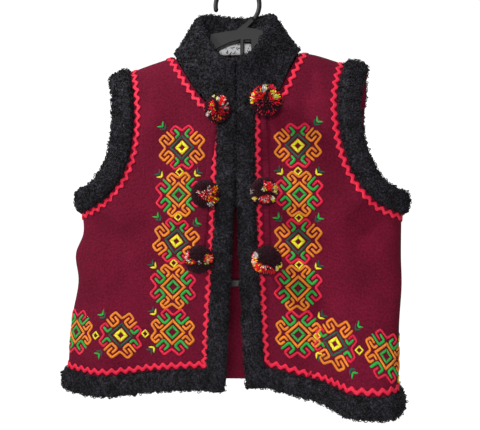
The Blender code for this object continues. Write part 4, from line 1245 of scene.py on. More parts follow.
def sprig_strokes(place, near, far, rng):
    """Two nested pairs of leaves that open away from the motif."""
    outward_axis = np.sign(np.array(place))
    strips = []
    for reach, colour in zip(LEAF_REACHES, (near, far)):
        foot = np.array(place) + outward_axis * reach / math.sqrt(2)
        for arm in (np.array([outward_axis[0], 0.0]), np.array([0.0, outward_axis[1]])):
            line = foot + np.linspace(0, LEAF_LENGTH, LEAF_POINTS)[:, None] * arm
            leaf = stroke(line, LEAF_WIDTH, colour, rng, 0.5)
            thin = 1 - LEAF_TAPER * np.linspace(0, 1, LEAF_POINTS) ** 2
            middle = line[:, None]
            strips.append((middle + (leaf[0] - middle) * thin[:, None, None], *leaf[1:]))
    return strips


def motif_strips(kind, sprigs, rng):
    """All the strips of one motif, about its centre, in millimetres."""
    top_hook, top_curl, side_hook, side_curl, near, far = MOTIF_THREADS[kind]
    strips = []
    for half, width, colour in MOTIF_SQUARES[kind]:
        strips += square_strokes(half, width, colour)
    for hook, hook_colour, curl, curl_colour, pair in (
            (SIDE_HOOK, side_hook, SIDE_CURL, side_curl, np.array((1, -1))),
            (TOP_HOOK, top_hook, TOP_CURL, top_curl, np.array((-1, 1)))):
        hook = turned_axes(hook)
        curl = turned_axes(curl)
        for sign in (1, -1):
            near_arm = np.where(pair > 0, sign, 1)
            far_arm = near_arm * pair
            joined = np.concatenate([hook * near_arm, (hook * far_arm)[::-1][1:]])
            strips.append(stroke(eased_line(joined), STROKE_WIDTH, hook_colour, rng))
            for arm in (near_arm, far_arm):
                strips.append(stroke(eased_line(curl * arm), STROKE_WIDTH, curl_colour, rng))
    for sign in (-1, 1):
        if sprigs in (0, sign):
            strips += sprig_strokes((sign * -SPRIG_PLACE[0], SPRIG_PLACE[1]), near, far, rng)
    return strips


def square_grain(a, q):
    """Chart steps for one metre across the cloth and one metre up it, square to each other.

    The chart's own paces and the angle between its lines are averaged over a motif's width.
    """
    around = a + np.linspace(-MOTIF_HALF_WIDTH, MOTIF_HALF_WIDTH, 9)
    _, slope_a, slope_q, _ = cloth_frame(around, np.full(9, q))
    pace_a = np.linalg.norm(slope_a, axis=1).mean()
    pace_q = np.linalg.norm(slope_q, axis=1).mean()
    lean = np.sum(unit(slope_a) * unit(slope_q), axis=1).mean()
    square = math.sqrt(1 - lean ** 2)
    return np.array(((1 / (square * pace_a), -lean / (square * pace_q)), (0, -1 / pace_q)))


def embroidery_piece(name, side, sizes, colours, material):
    """All the satin-stitch motifs of one front, laid on its cloth."""
    rng = np.random.default_rng(11 + side)
    motifs = [(motif_strips(kind, sprigs, rng), turn, a, q)
              for motif_side, kind, turn, a, q, sprigs in MOTIFS if motif_side == side]
    motifs += [(square_strokes(*SMALL_SQUARE), 0, a, q)
               for square_side, a, q in SMALL_SQUARES if square_side == side]
    rings, lifts, uvs, tints = [], [], [], []
    for strips, turn, a, q in motifs:
        grain = square_grain(a, q * MM)
        turn = math.radians(-side * turn)
        spin = np.array(((math.cos(turn), math.sin(turn)), (-math.sin(turn), math.cos(turn))))
        for places, lift, uv, colour in strips:
            rings.append((a, q * MM) + places * MM @ spin @ grain)
            lifts.append(lift)
            uvs.append(uv * MM)
            turns = np.linspace(0, rng.uniform(2, 7), len(places)) + rng.uniform(0, 6)
            shade = 1 + THREAD_SHADING * np.sin(turns)
            tints.append(np.array(colours[colour]) * shade[:, None, None] * np.ones((1, 6, 1)))
    chart = np.concatenate(rings)
    points, _, _, normal = cloth_frame(chart[..., 0], chart[..., 1])
    points = points + normal * (np.concatenate(lifts) * sizes.stitch_height)[..., None]
    counts = np.array([len(places) for places in rings])
    starts = np.concatenate(([0], np.cumsum(counts)[:-1])) * 6
    strips = [grid_faces(count, 6, False, True) for count in counts]
    quads = np.concatenate([start + strip for start, strip in zip(starts, strips)])
    rim = np.arange(6)
    caps = np.concatenate([starts[:, None] + rim,
                           (starts + (counts - 1) * 6)[:, None] + rim[::-1]])
    piece = new_piece(name, points, quads, material, (caps,),
                      uv=np.concatenate(uvs).reshape(-1, 2),
                      colours=np.concatenate(tints).reshape(-1, 3),
                      turned=inside_out(strips[0], points.reshape(-1, 3)[: counts[0] * 6]))
    return finished(piece)


# ---- pompoms ----
YARNS = {"m": "maroon", "c": "crimson", "r": "red", "o": "orange", "y": "yellow", "w": "white",
         "g": "grey"}
# yarn patches by pompom, on the face that shows: middle (right, up), half width and half height
# as shares of the radius, and the letters of its yarns, once for each share of the strands; later
# patches lie over earlier ones
POMPOM_PATCHES = {
    "pompom_top_left": (
        (0.0, -0.6, 0.55, 0.4, "mmrcmo"), (0.38, 0.5, 0.3, 0.5, "rrrw"),
        (0.72, 0.0, 0.2, 0.4, "gmc"), (0.38, -0.3, 0.25, 0.4, "rmc"),
        (-0.35, 0.0, 0.25, 0.5, "rrcy"), (-0.7, -0.45, 0.2, 0.2, "gwr"),
        (-0.3, 0.85, 0.12, 0.12, "wy"), (0.04, 0.62, 0.1, 0.2, "yw"),
        (0.04, 0.0, 0.1, 0.45, "m")),
    "pompom_top_right": (
        (0.0, -0.75, 0.6, 0.25, "mmmc"), (-0.48, 0.2, 0.52, 0.62, "rrcrm"),
        (-0.9, 0.1, 0.15, 0.4, "wry"), (0.55, 0.0, 0.45, 0.5, "rcrm"),
        (0.35, 0.62, 0.28, 0.3, "cmc"), (-0.4, 0.5, 0.3, 0.12, "ym"),
        (-0.1, 0.65, 0.14, 0.35, "wg"), (0.08, 0.6, 0.09, 0.35, "ym"),
        (0.45, 0.35, 0.16, 0.16, "y"), (0.66, 0.1, 0.24, 0.2, "yyw"),
        (-0.35, -0.38, 0.42, 0.24, "mmc"), (0.03, -0.05, 0.07, 0.35, "m")),
    "pompom_middle_left": (
        (0.15, -0.1, 0.52, 0.34, "rrcrw"), (0.5, 0.25, 0.25, 0.3, "rmw"),
        (0.78, 0.3, 0.18, 0.35, "yorr"), (0.6, -0.4, 0.42, 0.25, "rrym"),
        (0.45, -0.74, 0.2, 0.14, "wm"), (-0.4, 0.15, 0.12, 0.15, "wc")),
    "pompom_middle_right": (
        (0.3, 0.45, 0.4, 0.3, "crcw"), (0.12, 0.1, 0.3, 0.2, "yyw"),
        (0.5, 0.25, 0.3, 0.3, "rcr"), (0.86, 0.15, 0.14, 0.45, "ywo"),
        (0.1, -0.62, 0.48, 0.3, "rrcrw"), (0.6, -0.45, 0.25, 0.25, "rmr"),
        (0.68, -0.6, 0.18, 0.2, "yw"), (-0.72, -0.6, 0.2, 0.2, "ywr"),
        (-0.9, 0.0, 0.12, 0.3, "gm"), (0.4, -0.12, 0.3, 0.1, "m")),
    "pompom_bottom_left": (
        (-0.85, 0.35, 0.2, 0.5, "rcwm"), (-0.45, -0.12, 0.45, 0.2, "rwrym"),
        (0.25, -0.15, 0.2, 0.14, "wgm"), (0.75, 0.05, 0.27, 0.35, "rywr")),
    "pompom_bottom_right": (
        (-0.85, 0.0, 0.2, 0.55, "rwry"), (-0.75, 0.4, 0.16, 0.2, "wgc"),
        (-0.5, -0.5, 0.42, 0.35, "rrcry"), (0.25, -0.72, 0.5, 0.22, "rcrm"),
        (0.02, -0.42, 0.32, 0.13, "wwr"), (0.8, -0.55, 0.2, 0.24, "ywy")),
}
# a pompom's middle stands 8.1 mm and a share of its radius over the cloth; then how far it reaches
# towards the cloth, its core and the scatter of its strands, in radii
POMPOM_SEAT = 8.1
POMPOM_REACH = 0.80
POMPOM_FLAT = 0.78
CORE_SHARE = 0.72
STRAND_SCATTER = 0.035
# the strands' lengths in radii, with a few longer ones, and how far the yarns vary in tone
STRAND_LENGTHS = (0.93, 1.04)
STRAY_LENGTH = 0.05
STRAY_FROM = 0.93
TINT_SPREAD = (0.55, 1.2)
# where a patch fades out, in its own half sizes, and how far round the ball it goes
PATCH_EDGE = (0.8, 1.1)
PATCH_FACING = 0.25
# along a strand: share of its length, thickness and painted shade, darkest near the core where
# shade falls inside the ball and lighter towards the tip
STRAND_REACH, STRAND_THICK, STRAND_PAINTED_SHADE = np.array((
    (0.45, 0.8, 0.35), (0.85, 1.1, 0.8), (1.0, 0.75, 1.1))).T


def pompom_tints(name, aim, colours, rng):
    """One yarn colour for each strand: dark, except in the pompom's patches."""
    count = len(aim)
    tint = np.tile(np.array(colours["maroon"]), (count, 1))
    for u, v, half_width, half_height, letters in POMPOM_PATCHES[name]:
        away = np.hypot((aim[:, 0] - u) / half_width, (aim[:, 2] - v) / half_height)
        inside = (away < rng.uniform(*PATCH_EDGE, count)) & (aim[:, 1] < PATCH_FACING)
        yarns = np.array([colours[YARNS[letter]] for letter in letters])
        pick = rng.integers(len(letters), size=count)
        tint = np.where(inside[:, None], yarns[pick], tint)
    return tint * rng.uniform(*TINT_SPREAD, (count, 1))


def pompom_piece(name, x, z, radius, sizes, colours, material, seed):
    """A ball of cut yarn: tapered strands that leave a core in all directions.

    On the cloth's side they are cut short, so that the ball sits flat on the cloth.  The
    directions turn by the golden ratio, at equal steps of height.
    """
    rng = np.random.default_rng(seed)
    a, q = chart_of(np.array([x * MM]), np.array([z * MM]), 1)
    point, _, _, normal = cloth_frame(a, q)
    normal = normal[0]
    radius = radius * MM * sizes.pompom_scale
    centre = point[0] + normal * (POMPOM_SEAT * MM + POMPOM_REACH * radius)
    count = sizes.pompom_strands
    k = np.arange(count) + 0.5
    lat = np.arccos(1 - 2 * k / count)
    turn = math.pi * (1 + math.sqrt(5)) * k
    aim = np.stack([np.cos(turn) * np.sin(lat), np.sin(turn) * np.sin(lat), np.cos(lat)], axis=-1)
    aim = unit(aim + rng.normal(0, STRAND_SCATTER, aim.shape))
    toward = -(aim @ normal)
    length = rng.uniform(*STRAND_LENGTHS, count) + STRAY_LENGTH * (rng.random(count) > STRAY_FROM)
    length = radius * length
    cut = POMPOM_FLAT * radius / np.maximum(toward, 0.05)
    length = np.where(toward > 0.05, np.minimum(length, cut), length)
    side = unit(np.cross(aim, rng.normal(size=aim.shape)))
    other = np.cross(aim, side)
    reach = STRAND_REACH[:, None]
    sway = rng.normal(0, STRAND_SCATTER, (count, 1, 1)) * reach ** 2
    line = centre + (aim[:, None] * reach + side[:, None] * sway) * length[:, None, None]
    rings = three_sided(line, sizes.pompom_yarn * STRAND_THICK[:, None], side[:, None],
                        other[:, None])
    tint = pompom_tints(name, aim, colours, rng)
    # strands darkened towards the core and lighter at the tips: painted shade and light
    tint = tint[:, None, None] * STRAND_PAINTED_SHADE[:, None, None] * np.ones((1, 1, 3, 1))
    piece = strands_piece(name + "_yarn", rings, material, "yarn_mix", colours=tint.reshape(-1, 3))
    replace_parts(piece, name)
    return centre, radius


def core_points(centre, radius, rows=14, columns=22):
    """Rings of a small round core that stops light between the strands."""
    lat = np.linspace(0.12, math.pi - 0.12, rows)[:, None]
    lon = np.linspace(0, 2 * math.pi, columns, endpoint=False)[None]
    ball = np.stack([np.sin(lat) * np.cos(lon), np.sin(lat) * np.sin(lon),
                     np.cos(lat) * np.ones_like(lon)], axis=-1)
    return centre + radius * CORE_SHARE * ball


# ---- small pieces ----
# middle of the tape that joins each front's pompoms: chart position, distance from the shoulder
TAPES = {
    "left": ((-0.106, 104), (-0.125, 126), (-0.135, 145), (-0.145, 164), (-0.155, 184),
             (-0.166, 206), (-0.175, 228), (-0.185, 250)),
    "right": ((0.160, 100), (0.166, 126), (0.171, 145), (0.174, 164), (0.174, 185),
              (0.177, 209), (0.181, 232), (0.185, 253)),
}
TAPE_WIDTH = 6.5
TAPE_THICKNESS = 1.1
TAPE_LIFT = 1.4
# the row where the tape starts to come down, and the rows that it takes
TAPE_LIFT_ROWS = (1.0, 1.5)
TAPE_POINTS = 140
# the tape's section: share of its width across, share of its thickness up
TAPE_SECTION = ((-0.5, 0.0), (-0.5, 0.7), (-0.4, 1.0), (0.4, 1.0), (0.5, 0.7), (0.5, 0.0),
                (0.3, -0.4), (-0.3, -0.4))


def tape_piece(word, material):
    """A flat tape of the vest's own wool, down the front under the pompoms.

    At the top it lies over the zigzag braid, so it starts a braid's thickness higher.
    """
    spots = np.array(TAPES[word])
    keys = np.arange(len(spots))
    t = np.linspace(0, len(spots) - 1, TAPE_POINTS)
    path = smooth_at(t, keys, spots[:, 0]), smooth_at(t, keys, spots[:, 1] * MM)
    a, q, heading = path_with_sides(path, TAPE_POINTS)
    raised = TAPE_LIFT * (1 - soft_step((t - TAPE_LIFT_ROWS[0]) / TAPE_LIFT_ROWS[1]))
    rings = []
    for edge, lift in TAPE_SECTION:
        reach = np.full(TAPE_POINTS, edge * TAPE_WIDTH * MM)
        points, _, _, normal = cloth_frame(*walk(a, q, heading, reach))
        rings.append(points + normal * ((lift * TAPE_THICKNESS + raised) * MM)[:, None])
    uv = np.stack(np.broadcast_arrays(path_run(a, q)[:, None],
                                      np.linspace(0, TAPE_WIDTH * MM, 8)[None]), axis=-1)
    return tube_piece("pompom_tape_" + word, np.stack(rings, axis=1), material, "wool_red",
                      uv=uv.reshape(-1, 2))


# the row of stitches: its ends on the chart, and its sizes in millimetres
STITCH_ENDS = (-0.85, 0.85)
STITCH_ABOVE_HEM = 15.0
STITCH_PITCH = 4.0
STITCH_RADIUS = 0.35


def hem_stitches(sizes, material):
    """The stitches of the turned hem on the inside of the back: short threads in a row."""
    a, q = hem_run(-1, *STITCH_ENDS, 200)
    count = int(path_run(a, q)[-1] / (STITCH_PITCH * MM)) * 4 + 1
    a, q, _ = path_with_sides((a, q + STITCH_ABOVE_HEM * MM), count)
    points, _, _, normal = cloth_frame(a, q)
    up = np.cross(normal, unit(np.gradient(points, axis=0)))
    inside = points - normal * (sizes.wool_thickness + 0.1 * MM)
    line, up, inward = (part[:-1].reshape(-1, 4, 3) for part in (inside, up, -normal))
    rings = three_sided(line, STITCH_RADIUS * MM, up, inward)
    return strands_piece("hem_stitches", rings, material, "wool_red",
                         uv=np.zeros((rings.shape[0] * 12, 2)))


# the thread loop's place, size and shape, in millimetres
LOOP_HEIGHT = -265.0
LOOP_RADIUS = 2.6
LOOP_YARN = 0.45
LOOP_X = -3.5
LOOP_OUT = 6.5
LOOP_STRETCH = 1.3


def thread_loop(material):
    """One small thread loop that stands out from the left front's edge."""
    a, q = chart_of(np.array([LOOP_X * MM]), np.array([LOOP_HEIGHT * MM]), 1)
    point, _, _, normal = cloth_frame(a, q)
    turn = np.radians(np.linspace(-110, 110, 20))
    ray = np.stack([LOOP_STRETCH * np.cos(turn), np.zeros(20), np.sin(turn)], axis=-1)
    line = point + normal * LOOP_OUT * MM + LOOP_RADIUS * MM * ray
    return round_rod("thread_loop", line, LOOP_YARN * MM, 8, material, "pile_black")


# the label's place, in neck rows and in shares of the collar's height, and its depths in half walls
LABEL_SPAN = (6.2, 7.6)
LABEL_HEIGHTS = (0.02, 0.38)
LABEL_POINTS = 41
LABEL_BACK = 1.16
LABEL_FRONT = 1.32
LABEL_SIZE = 30


def label_piece(material):
    """A bare woven label inside the back of the collar, folded over at both ends."""
    t = np.linspace(*LABEL_SPAN, LABEL_POINTS)
    ease = np.sin(np.linspace(0, math.pi, LABEL_POINTS)) ** 0.3
    section = [(up, LABEL_FRONT) for up in np.linspace(*LABEL_HEIGHTS, 7)]
    section += [(up, LABEL_BACK) for up in np.linspace(*LABEL_HEIGHTS[::-1], 7)]
    rings = np.stack([collar_wall(t, up, -(LABEL_BACK + (depth - LABEL_BACK) * ease))
                      for up, depth in section], axis=1)
    run = np.linspace(0, LABEL_SIZE * MM, LABEL_POINTS)[:, None]
    rise = np.array([up for up, _ in section])[None] * LABEL_SIZE * MM
    uv = np.stack(np.broadcast_arrays(run, rise), axis=-1).reshape(-1, 2)
    piece = tube_piece("woven_label", rings, material, "label_white", uv=uv)
    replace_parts(piece, "neck_label")


def round_rod(name, line, radius, sides, material, slot):
    """A round rod along a line of points: circles square to its run, round ends."""
    along = unit(np.gradient(line, axis=0))
    aside = unit(np.cross(along, np.array((0.0, 1.0, 0.001))))[:, None]
    over = np.cross(aside[:, 0], along)[:, None]
    run = run_along(line)
    to_end = np.minimum(run, run[-1] - run) / radius
    ease = np.sqrt(1 - (1 - np.clip(to_end, 0.05, 1)) ** 2)[:, None, None]
    turn = np.linspace(0, 2 * math.pi, sides, endpoint=False)[None, :, None]
    ring = aside * np.cos(turn) + over * np.sin(turn)
    return tube_piece(name, line[:, None] + radius * ease * ring, material, slot)


# the hook, in millimetres and degrees
HOOK_RADIUS = 2.8
HOOK_BEND = 26.0
HOOK_TURN = (-36, 196)
HOOK_STEM = ((18.86, -41.3), (19.5, -40.8), (20.3, -39.9))


def hook_line():
    """Middle line of the hook: a short stem and then a round bend over the rail."""
    turn = np.radians(np.linspace(*HOOK_TURN, 90))
    x = np.concatenate([[p[0] for p in HOOK_STEM], HOOK_BEND * np.cos(turn)])
    z = np.concatenate([[p[1] for p in HOOK_STEM],
                        HOOK_RADIUS - HOOK_BEND + HOOK_BEND * np.sin(turn)])
    return np.stack([x, np.zeros_like(x), z], axis=-1) * MM


# ---- stage ----
CAMERA_TARGET = (0.003, 0.0, -0.272)
CAMERA_DISTANCE = 0.63
CAMERA_AZIMUTH = 5.0
CAMERA_LENS = 39.83
CAMERA_SENSOR = 36.0
FLOOR_RADIUS = 1.05
FLOOR_Z = -1.0
FLOOR_THICKNESS = 0.02
FLOOR_SIDES = 64
ROOM_LIGHT = 0.16
BACKDROP = 1.1
# columns: name, place, height that it is turned to, size, power
LIGHTS = (
    ("key", (-0.95, -0.60, 0.70), -0.25, 0.22, 17.0),
    ("fill", (-0.25, -0.9, 1.1), -0.3, 0.6, 4.0),
    ("front", (0.03, -1.6, -0.18), -0.25, 0.4, 15.0),
    ("back_fill", (0.4, 1.5, 0.6), -0.25, 1.2, 14.0),
)


def aimed(thing, place, target):
    """Put a camera or light at a place and turn it to a target."""
    thing.location = place
    thing.rotation_euler = (Vector(target) - Vector(place)).to_track_quat("-Z", "Y").to_euler()


def area_light(name, place, height, size, power):
    """A square soft light, turned to a height on the middle line."""
    data = bpy.data.lights.new(name, "AREA")
    data.shape = "SQUARE"
    data.size = size
    data.energy = power
    lamp = bpy.data.objects.new(name, data)
    bpy.context.scene.collection.objects.link(lamp)
    aimed(lamp, place, (0.0, 0.0, height))


def studio_world():
    """Even white surroundings: one level lights the vest and another shows behind it."""
    world = bpy.data.worlds.new("studio")
    bpy.context.scene.world = world
    world.use_nodes = True
    tree = world.node_tree
    light = tree.nodes["Background"]
    light.inputs["Color"].default_value = (1, 1, 1, 1)
    light.inputs["Strength"].default_value = ROOM_LIGHT
    behind = node(tree, "ShaderNodeBackground", Color=(1, 1, 1, 1), Strength=BACKDROP)
    ray = node(tree, "ShaderNodeLightPath")
    mix = node(tree, "ShaderNodeMixShader", (0, ray.outputs["Is Camera Ray"]),
               (1, light.outputs[0]), (2, behind.outputs[0]))
    feed(tree, tree.nodes["World Output"].inputs["Surface"], mix.outputs[0])


# ---- settings ----
def length(name, description, value):
    """A size that a user may change."""
    return bpy.props.FloatProperty(name=name, description=description, default=value,
                                   unit="LENGTH", subtype="DISTANCE", min=0.0)


def shade(name, description, value):
    """A colour that a user may change."""
    return bpy.props.FloatVectorProperty(name=name, description=description, default=value,
                                         size=3, min=0.0, max=1.0, subtype="COLOR")


class VestSizes(bpy.types.PropertyGroup):
    """Sizes of the sewn pieces."""
    wool_thickness: length("Wool", "Thickness of the milled wool", 2.0 * MM)
    cloth_cells: bpy.props.IntProperty(name="Cloth cells", default=6, min=3, max=16,
                                       description="Mesh cells for each cell of the pattern")
    pile_height: length("Pile height", "How far the looped pile stands off the wool", 7.0 * MM)
    front_band_width: length("Front bands", "Width of the pile down the fronts", 19.5 * MM)
    armhole_band_width: length("Armhole bands", "Width of the pile round an armhole", 25.0 * MM)
    loops_per_cm2: bpy.props.FloatProperty(
        name="Loops", default=11.0, min=0.0, max=40.0,
        description="Yarn loops on each square centimetre of pile")
    loop_radius: length("Loop radius", "Radius of a pile loop", 1.5 * MM)
    loop_yarn: length("Loop yarn", "Half thickness of a pile loop's yarn", 0.5 * MM)
    braid_width: length("Braid width", "Width of the zigzag braid itself", 5.0 * MM)
    braid_repeat: length("Braid repeat", "Length of one zigzag", 10.4 * MM)
    braid_thickness: length("Braid thickness", "Thickness of the zigzag braid", 1.3 * MM)
    stitch_height: length("Stitch height", "How far the satin stitch stands up", 0.9 * MM)
    pompom_scale: bpy.props.FloatProperty(name="Pompom scale", default=1.0, min=0.5, max=1.5,
                                          description="Size of the pompoms, 1 as made")
    pompom_strands: bpy.props.IntProperty(name="Pompom strands", default=1500, min=200,
                                          max=4000, description="Yarn ends in one pompom")
    pompom_yarn: length("Pompom yarn", "Half thickness of a pompom's yarn", 0.62 * MM)


class VestColours(bpy.types.PropertyGroup):
    """Colours of the cloths and yarns."""
    wool: shade("Wool", "Milled wool of the fronts and the back", (0.124, 0.0034, 0.0190))
    pile: shade("Pile", "Looped black pile", (0.0076, 0.0069, 0.0094))
    braid: shade("Braid", "Zigzag braid", (0.84, 0.013, 0.055))
    orange: shade("Orange", "Orange thread", (0.90, 0.26, 0.012))
    yellow: shade("Yellow", "Yellow thread", (0.92, 0.85, 0.022))
    leaf_green: shade("Leaf green", "Light green thread", (0.010, 0.46, 0.055))
    pine_green: shade("Pine green", "Dark green thread", (0.008, 0.095, 0.060))
    crimson: shade("Crimson", "Crimson thread", (0.80, 0.008, 0.050))
    red: shade("Red yarn", "Red yarn of the pompoms", (0.95, 0.012, 0.010))
    maroon: shade("Maroon yarn", "Dark yarn of the pompoms and their ties", (0.030, 0.003, 0.009))
    white: shade("White yarn", "White yarn of the pompoms", (0.80, 0.72, 0.68))
    grey: shade("Grey yarn", "Grey yarn of the pompoms", (0.38, 0.33, 0.32))
    plastic: shade("Plastic", "Hanger", (0.011, 0.0115, 0.0125))
    label: shade("Label", "Bare woven label", (0.85, 0.85, 0.86))
    floor: shade("Floor", "Floor", (0.80, 0.80, 0.80))


def thread_colours(colours):
    """The yarn and thread colours by name."""
    return {name: tuple(getattr(colours, name)) for name in
            ("orange", "yellow", "leaf_green", "pine_green", "crimson", "red", "maroon",
             "white", "grey")}


# ---- operators ----
class VEST_OT_materials(bpy.types.Operator):
    """Make the finishes that every piece uses"""
    bl_idname = "vest.materials"
    bl_label = "Finishes"

    def execute(self, context):
        make_fibre_group()
        make_thread_group()
        for name, row in FINISHES.items():
            make_finish(name, context.scene.vest_colours, **row)
        return {"FINISHED"}


class VEST_OT_cloth(bpy.types.Operator):
    """Build the two fronts and the back in milled wool"""
    bl_idname = "vest.cloth"
    bl_label = "Wool panels"

    def execute(self, context):
        sizes = context.scene.vest_sizes
        wool = bpy.data.materials["milled_wool"]
        cells = sizes.cloth_cells
        last = len(NECK) - 1
        for name, node_name, face, grid in (
                ("vest_front_left", "front_left", 1,
                 front_grid(-1, FRONT_EDGE_LEFT, 0, LEFT_NECK_POINT, cells)),
                ("vest_front_right", "front_right", 1,
                 front_grid(1, FRONT_EDGE_RIGHT, last, RIGHT_NECK_POINT, cells)),
                ("vest_back", "back", -1, back_grid(cells))):
            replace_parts(panel(name, face, grid, sizes.wool_thickness, wool), node_name)
        return {"FINISHED"}


class VEST_OT_pile(bpy.types.Operator):
    """Build the bands and the collar of looped pile"""
    bl_idname = "vest.pile"
    bl_label = "Pile bands and collar"

    def execute(self, context):
        sizes = context.scene.vest_sizes
        pile = bpy.data.materials["looped_pile"]
        front = sizes.front_band_width
        armhole = sizes.armhole_band_width
        hem = HEM_BAND_WIDTH * MM
        over = BAND_OVERHANG * MM
        middle = np.array(MIDDLE_OVERHANGS) * MM
        edges = []
        hems = []
        for side, table in ((-1, FRONT_EDGE_LEFT), (1, FRONT_EDGE_RIGHT)):
            edges.append(front_edge_path(table, over, BAND_TUCK * MM))
            line = hem_run(1, edges[-1][0][0], side)
            hems.append(trimmed(line, front - BAND_TUCK * MM, 0))
        back_hem = hem_run(-1, -1, 1, 180)
        # piece, solid, edge, width, side of the edge, closed, overhang, shares at the ends
        bands = (
            ("front_pile_left", "front_band_left", edges[0], front, 1, False, middle, (1, 0.6)),
            ("front_pile_right", "front_band_right", edges[1], front, -1, False, middle,
             (1, 0.6)),
            ("hem_pile_left", "hem_band_left", hems[0], hem, -1, False, over, (0.8, 1)),
            ("hem_pile_right", "hem_band_right", hems[1], hem, 1, False,
             RIGHT_HEM_OVERHANG * MM, (0.8, 1)),
            ("hem_pile_back", "hem_band_back", back_hem, hem, -1, False,
             BACK_HEM_OVERHANG * MM, (1, 1)),
            ("armhole_pile_left", "armhole_band_left", armhole_loop(-1), armhole, 1, True, over,
             (1, 1)),
            ("armhole_pile_right", "armhole_band_right", armhole_loop(1), armhole, -1, True, 0.0,
             (1, 1)))
        for seed, (name, node_name, path, width, side, closed, overhang, ease) in enumerate(bands):
            rings, top = band_rings(path, width, sizes.pile_height, side, closed, overhang, ease)
            pile_piece(name, node_name, rings, top, closed, sizes, pile, 20 + 3 * seed)
        rings, top = collar_rings()
        pile_piece("stand_collar", "collar", rings, top, False, sizes, pile, 70)
        return {"FINISHED"}


class VEST_OT_braid(bpy.types.Operator):
    """Sew on the zigzag braid"""
    bl_idname = "vest.braid"
    bl_label = "Zigzag braid"

    def execute(self, context):
        sizes = context.scene.vest_sizes
        red = bpy.data.materials["zigzag_braid"]
        edge = braid_piece("edge_zigzag", edge_braid_path(sizes), sizes, red)
        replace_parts(edge, "braid_front_left", "braid_front_right", "braid_hem_left",
                    "braid_hem_right", "braid_hem_back", "braid_neck")
        for side, word in ((-1, "left"), (1, "right")):
            path = armhole_braid_path(side, sizes)
            piece = braid_piece("armhole_zigzag_" + word, path, sizes, red)
            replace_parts(piece, "braid_armhole_" + word)
        return {"FINISHED"}


class VEST_OT_embroidery(bpy.types.Operator):
    """Embroider the motifs on both fronts"""
    bl_idname = "vest.embroidery"
    bl_label = "Embroidery"

    def execute(self, context):
        colours = thread_colours(context.scene.vest_colours)
        satin = bpy.data.materials["satin_stitch"]
        for side, word in ((-1, "left"), (1, "right")):
            embroidery_piece("embroidery_" + word, side, context.scene.vest_sizes, colours, satin)
        return {"FINISHED"}


class VEST_OT_pompoms(bpy.types.Operator):
    """Tie on the six pompoms"""
    bl_idname = "vest.pompoms"
    bl_label = "Pompoms"

    def execute(self, context):
        colours = thread_colours(context.scene.vest_colours)
        yarn = bpy.data.materials["cut_yarn"]
        for seed, (name, x, z, radius) in enumerate(POMPOMS):
            centre, real = pompom_piece(name, x, z, radius, context.scene.vest_sizes, colours,
                                        yarn, 90 + seed)
            rings = core_points(centre, real)
            # the core is half as light as the maroon yarn: painted shade in the middle of the ball
            tint = np.tile(np.array(colours["maroon"]) * 0.5, (rings.shape[0] * rings.shape[1], 1))
            tube_piece(name + "_core", rings, yarn, "yarn_mix", colours=tint)
        return {"FINISHED"}


class VEST_OT_small(bpy.types.Operator):
    """Sew on the bare label, the pompoms' tapes, the hem's stitches and the thread loop"""
    bl_idname = "vest.small"
    bl_label = "Label, tapes and stitches"

    def execute(self, context):
        wool = bpy.data.materials["milled_wool"]
        label_piece(bpy.data.materials["woven_label"])
        for word in TAPES:
            tape_piece(word, wool)
        hem_stitches(context.scene.vest_sizes, wool)
        thread_loop(bpy.data.materials["looped_pile"])
        return {"FINISHED"}


class VEST_OT_hanger(bpy.types.Operator):
    """Finish the hanger: its moulded arms and frame, and a round hook"""
    bl_idname = "vest.hanger"
    bl_label = "Hanger"

    def execute(self, context):
        plastic = bpy.data.materials["moulded_plastic"]
        hook = round_rod("hook", hook_line(), HOOK_RADIUS * MM, 24, plastic, "hanger_plastic")
        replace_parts(hook, "hanger_hook")
        for name in ("hanger_arms", "hanger_lower_frame"):
            mesh = frame["nodes"][name].data
            mesh.materials.clear()
            mesh.materials.append(plastic)
        return {"FINISHED"}


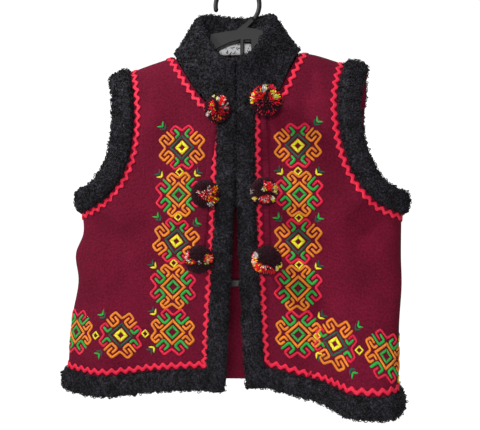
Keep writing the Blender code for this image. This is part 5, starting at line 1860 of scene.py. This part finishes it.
class VEST_OT_stage(bpy.types.Operator):
    """Set the floor, the soft lights and the camera"""
    bl_idname = "vest.stage"
    bl_label = "Stage"

    def execute(self, context):
        turn = np.linspace(0, 2 * math.pi, FLOOR_SIDES, endpoint=False)
        rim = np.stack([np.cos(turn), np.sin(turn), np.zeros_like(turn)], axis=-1) * FLOOR_RADIUS
        rings = np.stack([rim + (0, 0, FLOOR_Z), rim + (0, 0, FLOOR_Z - FLOOR_THICKNESS)])
        tube_mesh("floor", rings, bpy.data.materials["pale_floor"], smooth=False)
        studio_world()
        for light in LIGHTS:
            area_light(*light)
        data = bpy.data.cameras.new("camera")
        data.lens = CAMERA_LENS
        data.sensor_width = CAMERA_SENSOR
        camera = bpy.data.objects.new("camera", data)
        context.scene.collection.objects.link(camera)
        turn = math.radians(CAMERA_AZIMUTH)
        x, y, z = CAMERA_TARGET
        place = (x + CAMERA_DISTANCE * math.sin(turn), y - CAMERA_DISTANCE * math.cos(turn), z)
        aimed(camera, place, CAMERA_TARGET)
        context.scene.camera = camera
        context.scene.view_settings.view_transform = "Standard"
        return {"FINISHED"}


class VEST_OT_declare(bpy.types.Operator):
    """A step that does nothing"""
    bl_idname = "vest.declare"
    bl_label = "Soft pieces"

    def execute(self, context):
        return {"FINISHED"}


class VEST_PT_panel(bpy.types.Panel):
    """Sizes, colours and the steps that build the vest"""
    bl_idname = "VEST_PT_panel"
    bl_label = "Folk vest"
    bl_space_type = "VIEW_3D"
    bl_region_type = "UI"
    bl_category = "Folk vest"

    def draw(self, context):
        for group in (context.scene.vest_sizes, context.scene.vest_colours):
            box = self.layout.box()
            for name in type(group).__annotations__:
                box.prop(group, name)
        for operator in STEPS:
            self.layout.operator(operator.bl_idname)


STEPS = (VEST_OT_materials, VEST_OT_cloth, VEST_OT_pile, VEST_OT_braid, VEST_OT_embroidery,
         VEST_OT_pompoms, VEST_OT_small, VEST_OT_hanger, VEST_OT_declare, VEST_OT_stage)
CLASSES = (VestSizes, VestColours, *STEPS, VEST_PT_panel)


def register():
    """Register the classes and hang the settings on the scene."""
    for made in CLASSES:
        bpy.utils.register_class(made)
    bpy.types.Scene.vest_sizes = bpy.props.PointerProperty(type=VestSizes)
    bpy.types.Scene.vest_colours = bpy.props.PointerProperty(type=VestColours)


def unregister():
    """Take the settings and the classes away again."""
    del bpy.types.Scene.vest_colours
    del bpy.types.Scene.vest_sizes
    for made in reversed(CLASSES):
        bpy.utils.unregister_class(made)


def main():
    """Build the dressed vest."""
    register()
    bpy.ops.vest.materials()
    bpy.ops.vest.cloth()
    bpy.ops.vest.pile()
    bpy.ops.vest.braid()
    bpy.ops.vest.embroidery()
    bpy.ops.vest.pompoms()
    bpy.ops.vest.small()
    bpy.ops.vest.hanger()
    bpy.ops.vest.declare()
    bpy.ops.vest.stage()


if __name__ == "__main__":
    main()
